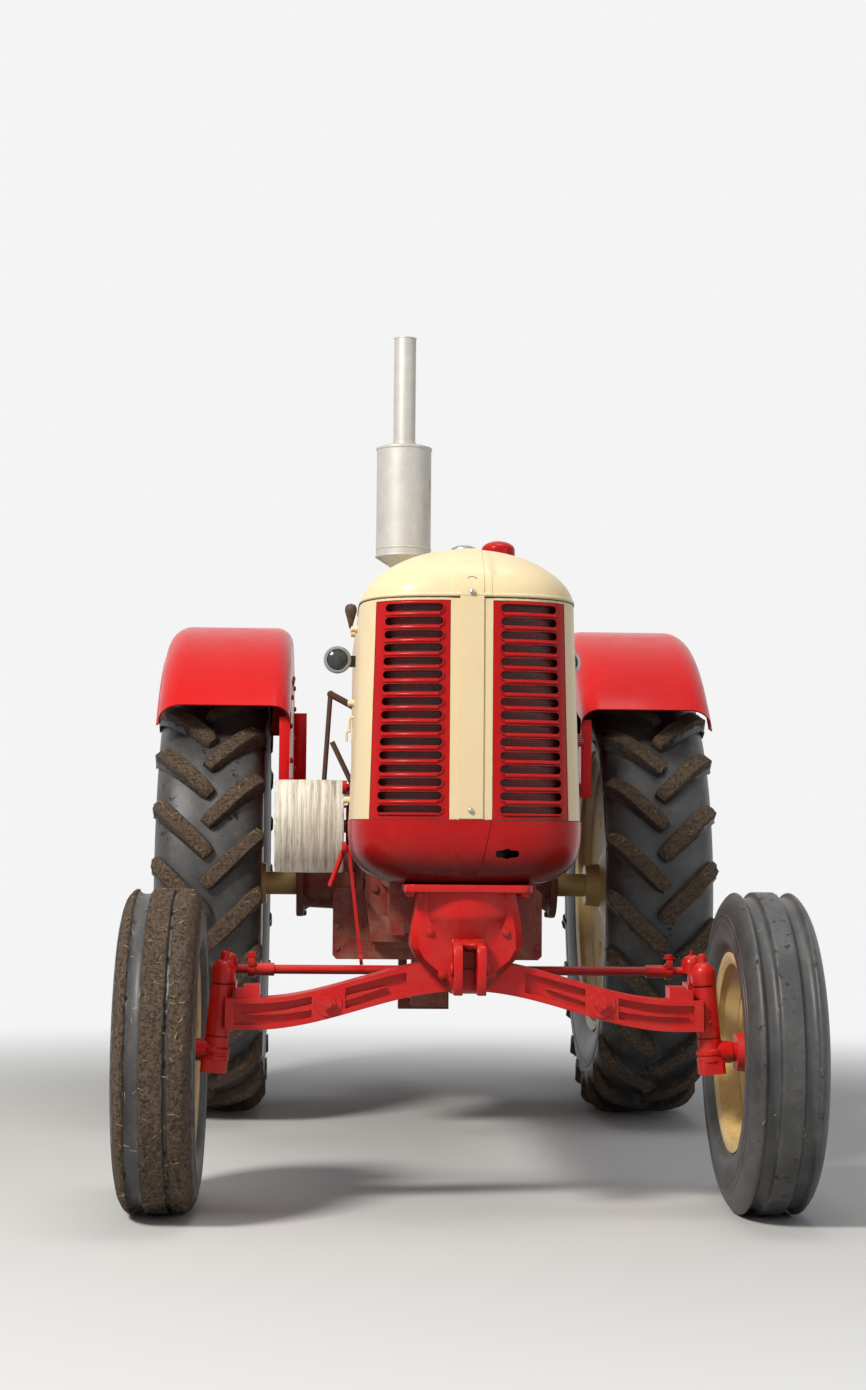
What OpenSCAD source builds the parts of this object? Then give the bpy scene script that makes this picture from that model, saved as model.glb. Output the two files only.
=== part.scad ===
// Vintage field tractor, in millimetres. It faces -Y and stands on z = 0, with
// its own left side towards +X. The origin is the bottom centre of its bounds.

/* [Stance] */
// distance between the axles
wheelbase = 2250; // [2100:10:2500]
// rear axle centre to the drawbar's rear end
drawbar_reach = 850; // [800:10:950]
// front gauge, tyre centre to tyre centre
front_gauge = 1524; // [1440:4:1800]
// rear gauge, tyre centre to tyre centre
rear_gauge = 1468; // [1460:4:1560]
// top of the frame rails
frame_z = 826; // [800:2:860]
// half width over the frame rails
frame_half = 190; // [175:1:210]
// depth of a frame rail
rail_h = 136; // [110:2:150]
// width of a frame rail's flanges
rail_w = 40; // [30:1:50]
// thickness of a rail's web and flanges
rail_t = 18; // [12:1:22]
// thickness of the sheet metal
sheet = 5; // [3:0.5:6]

/* [Front wheels] */
// front tyre outside diameter
front_tyre_d = 810; // [780:5:840]
// front tyre section width
front_tyre_w = 200; // [170:5:210]
// depth of the grooves between the ribs
groove_h = 15; // [6:1:18]
// width of a groove
groove_w = 40; // [30:1:44]
// half width of the centre rib
rib_half = 26; // [18:1:30]
// front bead seat diameter
front_seat_d = 457; // [440:1:470]
// height of the front rim flange
front_lip = 24; // [18:1:28]
// front wheel spindle diameter
spindle_d = 48; // [40:1:54]
// pitch radius of the front wheel nuts
front_nut_r = 84; // [78:1:90]
// height of the front hub cap
hub_cap_h = 66; // [50:2:80]

/* [Rear wheels] */
// rear tyre diameter over the lugs
rear_tyre_d = 1570; // [1520:5:1600]
// rear tyre width over the lugs
rear_tyre_w = 358; // [330:2:370]
// rear bead seat diameter
rear_seat_d = 965; // [940:1:990]
// height of the rear rim flange
rear_lip = 27; // [20:1:32]
// height of the lugs over the carcass
lug_h = 38; // [26:1:46]
// lugs on each side of a rear tyre
lug_count = 24; // [20:1:26]
// width of a lug across its sides
lug_w = 50; // [40:1:58]
// slant of the lugs
lug_angle = 45; // [40:1:50]
// axle shaft diameter
shaft_d = 80; // [60:1:90]

/* [Front axle] */
// kingpin centre from the centre line, at spindle height
king_x = 628; // [600:1:640]
// kingpin inclination
king_lean = 5; // [3:0.5:7]
// kingpin diameter
pin_d = 38; // [30:1:42]
// outer radius of the kingpin tubes
tube_r = 30; // [28:1:34]
// height of the arch between the axle's ends and its centre
arch_h = 100; // [80:2:120]
// axle beam half height
beam_h = 39; // [34:1:46]
// axle beam depth, front to back
beam_w = 104; // [90:2:120]
// length of the steering arms
arm_len = 160; // [140:5:175]
// tie rod radius
rod_r = 12; // [9:1:15]
// front hitch slot width
hitch_slot = 36; // [28:1:44]
// front hitch pin hole diameter
hitch_pin_d = 26; // [18:1:30]

/* [Nose] */
// half width of the nose shell at its foot
shell_half_low = 296; // [285:1:310]
// half width of the nose shell at the dome seam
shell_half_top = 277; // [265:1:290]
// height of the shell's foot
shell_z0 = 985; // [960:1:1010]
// height of the dome seam
seam_z = 1540; // [1510:1:1560]
// height of the dome's top
dome_z = 1690; // [1660:1:1720]
// nose tip ahead of the front axle
nose_reach = 200; // [180:5:215]
// depth of the shell behind the front axle
shell_back = 330; // [310:10:350]
// height of one grille slot
slot_h = 20; // [14:1:24]
// slots in each grille panel
slot_count = 16; // [14:1:18]
// half width of the raised centre strip
strip_half = 30; // [24:1:36]
// height of the strip and of the slots' lips over the sheet
lip_h = 4; // [2:0.5:6]

/* [Hood and engine] */
// rear end of the hood behind the front axle
hood_back = 1500; // [1480:5:1540]
// lower edge of the hood's sides
hood_z0 = 1200; // [1160:5:1260]
// exhaust centre to the right of the centre line
stack_x = 148; // [130:1:160]
// exhaust centre behind the front axle
stack_y = 550; // [500:5:600]
// silencer radius
silencer_r = 77; // [60:1:85]
// silencer length
silencer_h = 312; // [250:2:340]
// exhaust pipe radius
pipe_r = 31; // [26:1:36]
// top of the stack
stack_z = 2356; // [2250:2:2450]
// fan diameter
fan_d = 420; // [380:5:440]
// cylinder head half width
head_half = 120; // [105:1:130]

/* [Driveline] */
// belt pulley diameter
pulley_d = 284; // [260:2:300]
// belt pulley face width
pulley_w = 211; // [180:1:220]
// belt pulley centre behind the front axle
pulley_y = 1240; // [1220:5:1260]
// belt pulley centre height
pulley_z = 978; // [960:1:990]
// gearbox half width
box_half = 230; // [215:1:240]
// power take-off stub diameter
pto_d = 35; // [30:1:40]
// power take-off height
pto_z = 700; // [680:5:720]
// drawbar thickness
drawbar_t = 32; // [25:1:38]
// drawbar pin hole diameter
drawbar_pin_d = 28; // [22:1:34]

/* [Rear fenders and platform] */
// fender inner face from the centre line
fender_in = 477; // [465:1:490]
// fender outer edge from the centre line
fender_out = 905; // [880:1:930]
// fender crown above the rear axle
fender_r = 895; // [880:1:910]
// fender front lip ahead of the rear axle
fender_reach = 650; // [620:5:670]
// fender front lip height
fender_lip_z = 1350; // [1330:5:1370]
// top of the platform
deck_z = 1094; // [1085:1:1110]

/* [Steering and seat] */
// steering wheel rim diameter
wheel_d = 410; // [360:5:430]
// thickness of the steering wheel's rim
grip_d = 26; // [20:1:30]
// tilt of the steering column
column_tilt = 38; // [34:1:42]
// seat width
seat_w = 450; // [400:5:480]

/* [Hidden] */
run = 0.05;
half_len = (front_tyre_d / 2 + wheelbase + drawbar_reach) / 2;
front_y = front_tyre_d / 2 - half_len;
rear_y = front_y + wheelbase;
spin_z = front_tyre_d / 2;
rear_z = rear_tyre_d / 2;
// axle, bolster and steering heights
pivot_z = spin_z + 92 + arch_h;
pivot_r = 20;
arm_z = pivot_z + 72;
rod_z = spin_z + 193;
hitch_seat = -130;
stud_x = king_x - 22;
bolster_half = 138;
// fender arc, through its crown and its front lip
lip_dz = fender_lip_z - rear_z;
fender_arc_z = (fender_r + lip_dz - fender_reach * fender_reach / (fender_r - lip_dz)) / 2;
fender_arc_r = fender_r - fender_arc_z;
// clutch housing front face, gearbox front face, gearbox rear face
bell_y = 1100;
box_y = 1380;
box_end_y = wheelbase - 200;
box_z0 = rear_z - 185;
box_z1 = deck_z - 14;
fan_z = frame_z + 354;
fan_y = 222;
block_y = 290;
block_z = frame_z + 374;
head_z = block_z + 90;
silencer_z = dome_z + 38;
// where the nose's curve meets its straight sides
nose_root = 100;
chin_h = shell_z0 - frame_z - 0.4;
column_y = hood_back + 100;
column_z = seam_z - 180;
red = [0.70, 0.03, 0.03];
cream = [0.93, 0.87, 0.66];
steel = [0.55, 0.55, 0.56];
black = [0.06, 0.06, 0.065];
rust = [0.30, 0.15, 0.10];
// which sub-part to make
$fn = 64;

module at_front() { translate([0, front_y, 0]) children(); }
module at_rear() { translate([0, rear_y, 0]) children(); }
module side(s) { mirror([s < 0 ? 1 : 0, 0, 0]) children(); }
module both_sides() {
  children();
  mirror([1, 0, 0]) children();
}
module cyl_x(r, x0, x1) { translate([x0, 0, 0]) rotate([0, 90, 0]) cylinder(r = r, h = x1 - x0); }
module cyl_y(r, y0, y1) { translate([0, y0, 0]) rotate([-90, 0, 0]) cylinder(r = r, h = y1 - y0); }
module cyl_z(r, z0, z1) { translate([0, 0, z0]) cylinder(r = r, h = z1 - z0); }
module box(x0, x1, y0, y1, z0, z1) { translate([x0, y0, z0]) cube([x1 - x0, y1 - y0, z1 - z0]); }
// profile in X and Z, swept along Y
module along_y(y0, y1) { translate([0, y1, 0]) rotate([90, 0, 0]) linear_extrude(y1 - y0) children(); }
// profile in Y and Z, swept along X
module along_x(x0, x1) { translate([x0, 0, 0]) rotate([90, 0, 90]) linear_extrude(x1 - x0) children(); }
// profile in X and Y, raised along Z
module along_z(z0, z1) { translate([0, 0, z0]) linear_extrude(z1 - z0) children(); }
// profile in radius and X, turned about the X axis
module turn_x(n = 96) { rotate([0, 90, 0]) rotate_extrude($fn = n) children(); }
module ring_of(n, r) { for (i = [0:n - 1]) rotate([i * 360 / n, 0, 0]) translate([0, r, 0]) children(); }
module hex_x(r, x0, x1) { translate([x0, 0, 0]) rotate([0, 90, 0]) cylinder(r = r, h = x1 - x0, $fn = 6); }
module rounded(w, h, r) {
  difference() {
    square([w, h], center = true);
    for (a = [-1, 1], b = [-1, 1]) translate([a * (w / 2), b * (h / 2)]) difference() {
      square(2 * r, center = true);
      translate([-a * r, -b * r]) circle(r, $fn = 32);
    }
  }
}
module stadium(w, h) {
  square([w - h, h], center = true);
  for (a = [-1, 1]) translate([a * (w - h) / 2, 0]) circle(h / 2, $fn = 24);
}
// points on an ellipse's arc from angle a0 to a1
function arc(cx, cy, rx, ry, a0, a1, n) =
  [for (i = [0:n]) let (a = a0 + (a1 - a0) * i / n) [cx + rx * cos(a), cy + ry * sin(a)]];
function flip(p) = [for (i = [len(p) - 1:-1:0]) [-p[i][0], p[i][1]]];

// solid through rings with the same number of points
module loft(rings) {
  n = len(rings[0]);
  m = len(rings);
  pts = [for (r = rings) each r];
  polyhedron(pts, concat(
    [[for (i = [0:n - 1]) i]],
    [for (k = [0:m - 2], i = [0:n - 1]) let (j = (i + 1) % n)
      each [[k * n + i, (k + 1) * n + j, k * n + j], [k * n + i, (k + 1) * n + i, (k + 1) * n + j]]],
    [[for (i = [n - 1:-1:0]) (m - 1) * n + i]]), convexity = 6);
}

// nose plan: a squared ellipse in front, straight sides behind
function nose_half(h, f, n) = [for (i = [0:n]) let (a = 90 * i / n)
  [h * pow(sin(a), 0.625), nose_root - (f + nose_root) * pow(cos(a), 0.625)]];
function nose_plan(h, f, back) = concat([[0, -f]], [for (i = [1:14]) nose_half(h, f, 14)[i]], [[h, back]],
  [[-h, back]], flip([for (i = [1:14]) nose_half(h, f, 14)[i]]));
function half_at(z) = shell_half_low + (shell_half_top - shell_half_low) * (z - shell_z0) / (seam_z -
  shell_z0);
function lifted(plan, z) = [for (p = plan) [p[0], p[1], z]];
// dome outline: width and reach at height u of 1
function dome_w(u) = pow(1 - pow(u, 1.8), 0.5556);
function dome_f(u) = nose_reach + (nose_reach + nose_root) * (pow(1 - pow(u, 2.2), 0.4545) - 1);
DOME_U = [0, 0.12, 0.25, 0.38, 0.5, 0.62, 0.73, 0.82, 0.89, 0.945, 0.98, 0.997];
function dome_rings(i) = [for (u = DOME_U) let (w = (shell_half_top - i) * dome_w(u))
  lifted(nose_plan(w, dome_f(u) - i, shell_back), seam_z + (dome_z - i - seam_z) * u)];
module shell_body(i, z0, z1) {
  loft([lifted(nose_plan(half_at(z0) - i, nose_reach - i, shell_back), z0),
    lifted(nose_plan(half_at(z1) - i, nose_reach - i, shell_back), z1)]);
}
// hood section, the dome's outline carried back
function hood_pts(i) = let (h = shell_half_top - i, t = dome_z - i - seam_z)
  let (half = concat([[h, hood_z0]], [for (u = DOME_U) [h * dome_w(u), seam_z + t * u]]))
  concat(half, flip(half));

module front_tyre(s) {
  r1 = front_tyre_d / 2;
  r0 = front_seat_d / 2;
  w = front_tyre_w / 2;
  b = 72;
  g = rib_half + groove_w;
  color(black) side(s) at_front() translate([front_gauge / 2, 0, spin_z]) difference() {
    turn_x(72) polygon(concat([[r0, -b + 6], [r0 + front_lip, -b - 4]],
      arc((r0 + r1) / 2 - 22, 0, (r1 - r0) / 2 - 18, w, -130, -90, 3),
      [[r1 - 34, -w + 4], [r1 - 12, -w + 15], [r1 - 2, -w + 28], [r1, -rib_half], [r1, rib_half],
      [r1 - 2, w - 28], [r1 - 12, w - 15], [r1 - 34, w - 4]],
      arc((r0 + r1) / 2 - 22, 0, (r1 - r0) / 2 - 18, w, 90, 130, 3),
      [[r0 + front_lip, b + 4], [r0, b - 6]]));
    for (x = [-1, 1]) turn_x(72) polygon([[r1 - groove_h, x * (rib_half + 6)], [r1 + 3, x * rib_half],
      [r1 + 3, x * g], [r1 - groove_h, x * (g - 7)]]);
  }
}
module front_rim(s) {
  rs = front_seat_d / 2;
  rf = rs + front_lip;
  b = 72;
  half = [[rs, b - 6], [rf - 6, b + 4], [rf, b + 8], [rf, b + 12], [rf - 7, b + 12], [rs - 6, b + 5],
    [rs - 6, b - 12], [rs - 34, 20]];
  color(cream) side(s) at_front() translate([front_gauge / 2, 0, spin_z]) {
    turn_x() polygon(concat([[rs, b - 14], [rs, b - 6]], [for (i = [1:7]) half[i]],
      [[rs - 34, -30], [rs - 6, -b + 12], [rs - 6, -b - 5], [rf - 7, -b - 12], [rf, -b - 12], [rf, -b - 8],
      [rf - 6, -b - 4], [rs, -b + 6], [rs, -b + 14], [rs - 28, -26], [rs - 28, 16]]));
    difference() {
      turn_x() polygon(concat([[front_nut_r - 30, -2], [front_nut_r + 24, -2]],
        [[150, -24], [rs - 40, -28], [rs - 32, -26], [rs - 32, -16], [rs - 44, -18], [154, -14]],
        [[front_nut_r + 28, 6], [front_nut_r - 30, 6]]));
      ring_of(6, (front_nut_r + rs) / 2 + 5) cyl_x(14, -60, 60);
      ring_of(6, front_nut_r) cyl_x(8, -60, 60);
    }
  }
}
module front_hub(s) {
  color(red) side(s) at_front() translate([front_gauge / 2, 0, spin_z]) difference() {
    union() {
      turn_x() polygon(concat([[0, -70], [46, -70], [52, -40], [56, -14], [front_nut_r + 20, -14],
        [front_nut_r + 20, -2], [52, -2], [46, 30], [40, 34]], arc(0, 34, 38, hub_cap_h - 34, 0, 90, 5)));
      ring_of(6, front_nut_r) {
        cyl_x(8, -14, 20);
        hex_x(14, 6, 17);
      }
    }
    cyl_x(spindle_d / 2 + run, -80, 28);
  }
}
module king_frame() {
  at_front() translate([king_x, 0, spin_z]) rotate([0, -king_lean, 0]) children();
}
module knuckle(s) {
  color(red) side(s) {
    king_frame() {
      along_z(-56, -22) rounded(66, 62, 14);
      rotate_extrude() polygon([[0, -30], [tube_r + 6, -23], [tube_r + 6, -14], [tube_r + 3, -12],
        [tube_r + 3, -8],
        [tube_r + 6, -6], [tube_r + 6, 4], [tube_r, 9], [tube_r, 34], [0, 34]]);
      cyl_z(pin_d / 2, 33, 190);
      rotate_extrude() polygon(concat([[0, 168], [tube_r - 1, 168], [tube_r, 172]],
        arc(0, 196, tube_r + 1, 32, 0, 62, 5), [[11, 226], [11, 244], [8, 248], [0, 248]]));
      along_z(172, 194) polygon([[-26, 0], [26, 0], [10, 96], [-26, 96]]);
    }
    at_front() {
      translate([0, 0, rod_z - 50]) linear_extrude(24) polygon([[stud_x - 24, 66], [stud_x + 40, 66],
        [stud_x + 24, arm_len], [stud_x - 24, arm_len]]);
      box(stud_x - 22, stud_x + 20, 66, 92, rod_z - 50, rod_z - 4);
      translate([stud_x, arm_len, 0]) {
        cyl_z(24, rod_z - 50, rod_z - 26);
        cyl_z(8, rod_z - 27, rod_z + 18);
      }
      translate([0, 0, spin_z]) {
        cyl_x(28, king_x - 8, front_gauge / 2 - 80);
        cyl_x(spindle_d / 2, king_x + 20, front_gauge / 2 + 26);
      }
    }
  }
}
function arch(x) = spin_z + 92 + arch_h * (1 + cos(180 * min(abs(x), 540) / 540)) / 2;
function beam_pts(x0, x1, n, h0, h1) = concat(
  [for (i = [0:n]) let (x = x0 + (x1 - x0) * i / n) [x, arch(x) - (h0 + (h1 - h0) * i / n)]],
  [for (i = [n:-1:0]) let (x = x0 + (x1 - x0) * i / n) [x, arch(x) + h0 + (h1 - h0) * i / n]]);
module front_axle() {
  bolt_x = 345;
  color(red) difference() {
    union() {
      at_front() {
        along_y(-beam_w / 2, beam_w / 2) polygon(concat(
          [for (i = [-24:24]) let (x = i * (king_x - 24) / 24) [x, arch(x) - beam_h]],
          [for (i = [24:-1:-24]) let (x = i * (king_x - 24) / 24) [x, arch(x) + beam_h]]));
        both_sides() {
          translate([bolt_x, 0, arch(bolt_x)]) {
            cyl_y(34, -beam_w / 2 - 4, beam_w / 2 + 4);
            rotate([90, 0, 0]) cylinder(r = 19, h = beam_w / 2 + 18, $fn = 6);
            rotate([-90, 0, 0]) cylinder(r = 19, h = beam_w / 2 + 18, $fn = 6);
            rotate([90, 0, 0]) cylinder(r = 10, h = beam_w / 2 + 26);
          }
          box(king_x - 110, king_x - 68, -beam_w / 2 + 8, beam_w / 2 - 20, arch(560), arch(560) + beam_h +
            34);
          box(king_x - 70, king_x - 50, -beam_w / 2 + 8, beam_w / 2 - 20, arch(560), arch(560) + beam_h + 24);
        }
      }
      both_sides() king_frame() {
        cyl_z(tube_r, 36, 164);
      }
    }
    both_sides() king_frame() cyl_z(pin_d / 2 + run, 30, 175);
    at_front() both_sides() {
      for (y = [-beam_w / 2 - 1, beam_w / 2 - 18]) {
        difference() {
          along_y(y, y + 19) polygon(beam_pts(150, bolt_x - 42, 8, beam_h - 15, beam_h - 13));
          along_y(y + 5, y + 15) polygon(beam_pts(200, bolt_x, 6, 2, 9));
        }
        difference() {
          along_y(y, y + 19) polygon(beam_pts(bolt_x + 42, king_x - 48, 8, beam_h - 13, beam_h - 13));
          along_y(y + 5, y + 15) polygon(beam_pts(bolt_x, king_x - 62, 6, 9, 1));
        }
      }
    }
    at_front() translate([0, 0, pivot_z]) cyl_y(pivot_r + run, -beam_w, beam_w);
  }
}
module axle_pin() {
  color(steel) at_front() translate([0, 0, pivot_z]) {
    cyl_y(pivot_r, -108, 112);
    cyl_y(pivot_r + 8, 102, 112);
  }
}
// bolster outline seen from the front
function bolster_pts(i) = let (h = bolster_half - i)
  concat([[h - 18, frame_z - 10], [h, pivot_z + 118], [h + 2, pivot_z + 70], [h - 12, pivot_z + 44],
    [62, pivot_z - 22], [40, pivot_z - 44 + i]], flip([[h - 18, frame_z - 10], [h, pivot_z + 118],
    [h + 2, pivot_z + 70], [h - 12, pivot_z + 44], [62, pivot_z - 22], [40, pivot_z - 44 + i]]));
// the casting's body, before its openings
module bolster_mass() {
  difference() {
    intersection() {
      along_y(-170, 99) polygon(bolster_pts(0));
      along_z(pivot_z - 60, frame_z - 5) union() {
        translate([0, 40]) circle(178, $fn = 96);
        translate([-150, 40]) square([300, 60]);
      }
    }
    // the hitch's flat seat
    box(-58, 58, -200, hitch_seat, pivot_z - 61, pivot_z + 96);
  }
}
module front_bolster() {
  back = 99;
  color(red) at_front() difference() {
    union() {
      along_z(frame_z - 20, frame_z) translate([0, -8]) rounded(320, 214, 16);
      bolster_mass();
      // ribs down the cheeks
      both_sides() translate([bolster_half - 22, 0, 0]) along_x(0, 12) polygon([[-120, frame_z - 6],
        [-132, frame_z - 60], [-100, pivot_z + 50], [-60, pivot_z + 20], [0, frame_z - 6]]);
    }
    // room for the axle beam and its rocking
    box(-160, 160, -beam_w / 2 - 12, beam_w / 2 + 12, pivot_z - 80, pivot_z + 58);
    // room for the steering arm
    cyl_z(62, pivot_z + 57, arm_z + 48);
    box(-104, 104, 0, back + 1, arm_z - 13, arm_z + 44);
    translate([0, 0, pivot_z]) cyl_y(pivot_r, -150, 150);
    cyl_z(22 + run, arm_z, frame_z - 30);
  }
}
module front_hitch() {
  ear = hitch_slot / 2 + 19;
  color(red) at_front() difference() {
    union() {
      both_sides() along_x(hitch_slot / 2, ear) polygon(concat([[hitch_seat, pivot_z + 94],
        [-150, pivot_z + 94]], arc(-190, pivot_z + 56, 38, 34, 60, 175, 4), [[-230, pivot_z - 10],
        [-222, pivot_z - 40], [hitch_seat, pivot_z - 40]]));
      along_x(-ear, ear) polygon([[hitch_seat, pivot_z + 94], [-150, pivot_z + 94], [-172, pivot_z + 86],
        [-172, pivot_z + 66], [-144, pivot_z + 50], [-138, pivot_z - 40], [hitch_seat, pivot_z - 40]]);
    }
    translate([0, -200, pivot_z + 22]) cyl_x(hitch_pin_d / 2, -60, 60);
  }
}
module side_frame() {
  color(red) at_front() {
    both_sides() difference() {
      box(frame_half - rail_w, frame_half, 100, bell_y, frame_z - rail_h, frame_z);
      box(frame_half - rail_w + rail_t, frame_half + 1, 100 + rail_t, bell_y - rail_t,
        frame_z - rail_h + rail_t, frame_z - rail_t);
    }
    box(-frame_half + 1, frame_half - 1, 100, 150, arm_z + 50, frame_z - 20);
  }
}
module steering_arm() {
  color(red) at_front() {
    cyl_z(22, arm_z, frame_z - 32);
    cyl_z(40, arm_z, arm_z + 34);
    along_z(arm_z, arm_z + 28) polygon([[-26, 0], [26, 0], [19, arm_len], [-19, arm_len]]);
    translate([0, arm_len, 0]) {
      cyl_z(24, arm_z, arm_z + 32);
      cyl_z(9, rod_z - 38, arm_z + 1);
    }
  }
}
module tie_rod() {
  color(red) at_front() translate([0, arm_len, 0]) difference() {
    union() {
      translate([0, 0, rod_z]) cyl_x(rod_r, -stud_x, stud_x);
      cyl_z(22, rod_z - 20, rod_z + 20);
      both_sides() {
        translate([stud_x, 0, rod_z]) rotate_extrude() polygon(concat([[0, -4], [26, -4], [26, 20]],
          arc(0, 20, 26, 24, 0, 90, 5)));
        translate([0, 0, rod_z]) {
          cyl_x(rod_r + 5, stud_x - 120, stud_x - 60);
          cyl_x(rod_r + 9, stud_x - 70, stud_x - 52);
        }
        translate([stud_x - 61, -8, rod_z]) cyl_z(7, 0, rod_r + 22);
      }
    }
    cyl_z(9 + run, rod_z - 40, rod_z + 40);
    both_sides() translate([stud_x, 0, 0]) cyl_z(15, rod_z - 40, rod_z + 34);
  }
}
module nose_shell() {
  color(cream) at_front() difference() {
    shell_body(0, shell_z0, seam_z);
    shell_body(sheet, shell_z0 - 1, seam_z + 1);
    box(-500, 500, shell_back - 1, shell_back + 1, 0, 2000);
    both_sides() along_y(-400, -30) polygon([[53, shell_z0 - 1], [half_at(shell_z0) - 46, shell_z0 - 1],
      [half_at(seam_z) - 40, seam_z - 8], [53, seam_z - 8]]);
  }
}
module dome() {
  color(cream) at_front() difference() {
    loft(dome_rings(0));
    translate([0, 0, -0.5]) loft(dome_rings(sheet));
    box(-500, 500, -500, 500, seam_z - 2, seam_z + 0.3);
    box(-500, 500, shell_back - 1, shell_back + 1, 0, 2000);
    translate([0, 150, 0]) cyl_z(22, seam_z, dome_z + 60);
  }
}
module grille_window(i) {
  polygon([[54 + i, shell_z0 + 1 + i], [half_at(shell_z0) - 47 - i, shell_z0 + 1 + i],
    [half_at(seam_z) - 41 - i, seam_z - 9 - i], [54 + i, seam_z - 9 - i]]);
}
module slots(w, h) {
  pitch = (seam_z - shell_z0 - 20) / slot_count;
  x0 = 72;
  for (k = [0:slot_count - 1]) {
    z = shell_z0 + 10 + pitch * (k + 0.5);
    x1 = half_at(z) - 64;
    translate([(x0 + x1) / 2, z]) stadium(x1 - x0 + w, slot_h + h);
  }
}
module grille(s) {
  color(red) side(s) at_front() difference() {
    union() {
      intersection() {
        difference() {
          shell_body(1, shell_z0, seam_z);
          shell_body(sheet, shell_z0 - 1, seam_z + 1);
        }
        along_y(-400, -31) grille_window(0);
      }
      intersection() {
        difference() {
          shell_body(1 - lip_h, shell_z0, seam_z);
          shell_body(3, shell_z0 - 1, seam_z + 1);
        }
        along_y(-400, -60) slots(7, 7);
      }
    }
    along_y(-400, 0) slots(0, 0);
  }
}
module grille_screen() {
  color(black) at_front() intersection() {
    difference() {
      shell_body(16, shell_z0 + 4, seam_z - 4);
      shell_body(19, shell_z0 + 3, seam_z - 3);
    }
    along_y(-400, -40) polygon([[-240, shell_z0], [240, shell_z0], [240, seam_z], [-240, seam_z]]);
  }
}
module centre_strip() {
  path = concat([[-nose_reach, shell_z0 + 4], [-nose_reach, seam_z]],
    [for (u = DOME_U) [-dome_f(u), seam_z + (dome_z - seam_z) * u]]);
  outer = concat([[-nose_reach - lip_h, shell_z0 + 4], [-nose_reach - lip_h, seam_z]],
    [for (u = DOME_U) [-dome_f(u) - lip_h * (1 - u * u), seam_z + (dome_z - seam_z) * u + lip_h * u]]);
  color(cream) at_front() {
    along_x(-strip_half, strip_half) polygon(concat(path, [for (i = [len(outer) - 1:-1:0]) outer[i]]));
    for (z = [shell_z0 + 24, seam_z + 10]) translate([0, 0, z]) cyl_y(6, -nose_reach - lip_h - 3,
      -nose_reach - 1);
  }
}
// chin bowl: width, reach and height at each step down
CHIN = [[1, 1, 0], [0.995, 0.99, 0.25], [0.97, 0.96, 0.48], [0.92, 0.90, 0.65], [0.84, 0.81, 0.79],
  [0.74, 0.70, 0.89], [0.62, 0.57, 0.97], [0.5, 0.45, 1]];
function chin_rings(i) = [for (k = [len(CHIN) - 1:-1:0]) let (c = CHIN[k], h = shell_half_low + 3 - i)
  lifted(nose_plan(h * c[0], (nose_reach + 2 - i) * c[1], 190), shell_z0 - 0.4 - chin_h * c[2] + min(i,
    chin_h * c[2]))];
module chin_pan() {
  color(red) at_front() difference() {
    loft(chin_rings(0));
    loft(concat(chin_rings(sheet), [lifted(nose_plan(shell_half_low + 3 - sheet, nose_reach + 2 - sheet, 190),
      shell_z0 + 10)]));
    box(-500, 500, 188, 200, 500, 1200);
    along_y(-400, -50) translate([92, shell_z0 - 82]) polygon([[-28, 0], [-24, 7], [-8, 8], [0, 12], [8, 8],
      [24, 7], [28, 0], [24, -7], [8, -8], [0, -12], [-8, -8], [-24, -7]]);
  }
}
module radiator() {
  color(black) at_front() {
    box(-248, 248, 60, 170, shell_z0 - 60, seam_z - 40);
    box(-225, 225, 50, 180, seam_z - 40, seam_z + 40);
    box(-134, 134, 50, 180, frame_z + sheet, shell_z0 - 100);
    box(-205, 205, 50, 180, shell_z0 - 101, shell_z0 - 60);
    translate([0, 150, 0]) cyl_z(21, seam_z + 35, dome_z - 10);
  }
}
module radiator_cap() {
  color(steel) at_front() translate([0, 150, 0]) {
    cyl_z(20, dome_z - 10, dome_z + 3);
    rotate_extrude() translate([0, dome_z + 2]) polygon([[0, 0], [33, 0], [35, 6], [33, 14], [20, 20], [0,
      22]]);
  }
}
module intake_cap() {
  color(red) at_front() translate([109, 400, 0]) {
    cyl_z(24, dome_z - 50, dome_z + 26);
    rotate_extrude() translate([0, dome_z + 24]) polygon(concat([[0, 0], [44, 0], [46, 6], [46, 20]],
      arc(0, 22, 46, 24, 0, 90, 6)));
  }
}
module hood() {
  color(cream) at_front() difference() {
    along_y(shell_back + 2, hood_back) polygon(hood_pts(0));
    along_y(shell_back + 1, hood_back + 1) polygon(concat([[shell_half_top - sheet, hood_z0 - 1]],
      hood_pts(sheet), [[-shell_half_top + sheet, hood_z0 - 1]]));
    translate([-stack_x, stack_y, 0]) cyl_z(pipe_r + 6, seam_z, dome_z + 60);
    translate([109, 400, 0]) cyl_z(24, seam_z, dome_z + 60);
  }
}
module exhaust() {
  color(steel) at_front() translate([-stack_x, stack_y, 0]) {
    cyl_z(pipe_r, head_z + 52, silencer_z - 16);
    rotate_extrude() translate([0, silencer_z]) polygon(concat([[0, -26], [pipe_r + 6, -26], [silencer_r, 0],
      [silencer_r, silencer_h - 8], [silencer_r + 2, silencer_h - 6], [silencer_r + 2, silencer_h]],
      [[silencer_r - 4, silencer_h], [silencer_r - 10, silencer_h + 4], [pipe_r + 3, silencer_h + 6],
      [pipe_r + 3, silencer_h + 16], [0, silencer_h + 16]]));
    difference() {
      cyl_z(pipe_r, silencer_z + silencer_h, stack_z);
      cyl_z(pipe_r - 3, silencer_z + silencer_h + 40, stack_z + 1);
    }
  }
}
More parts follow.
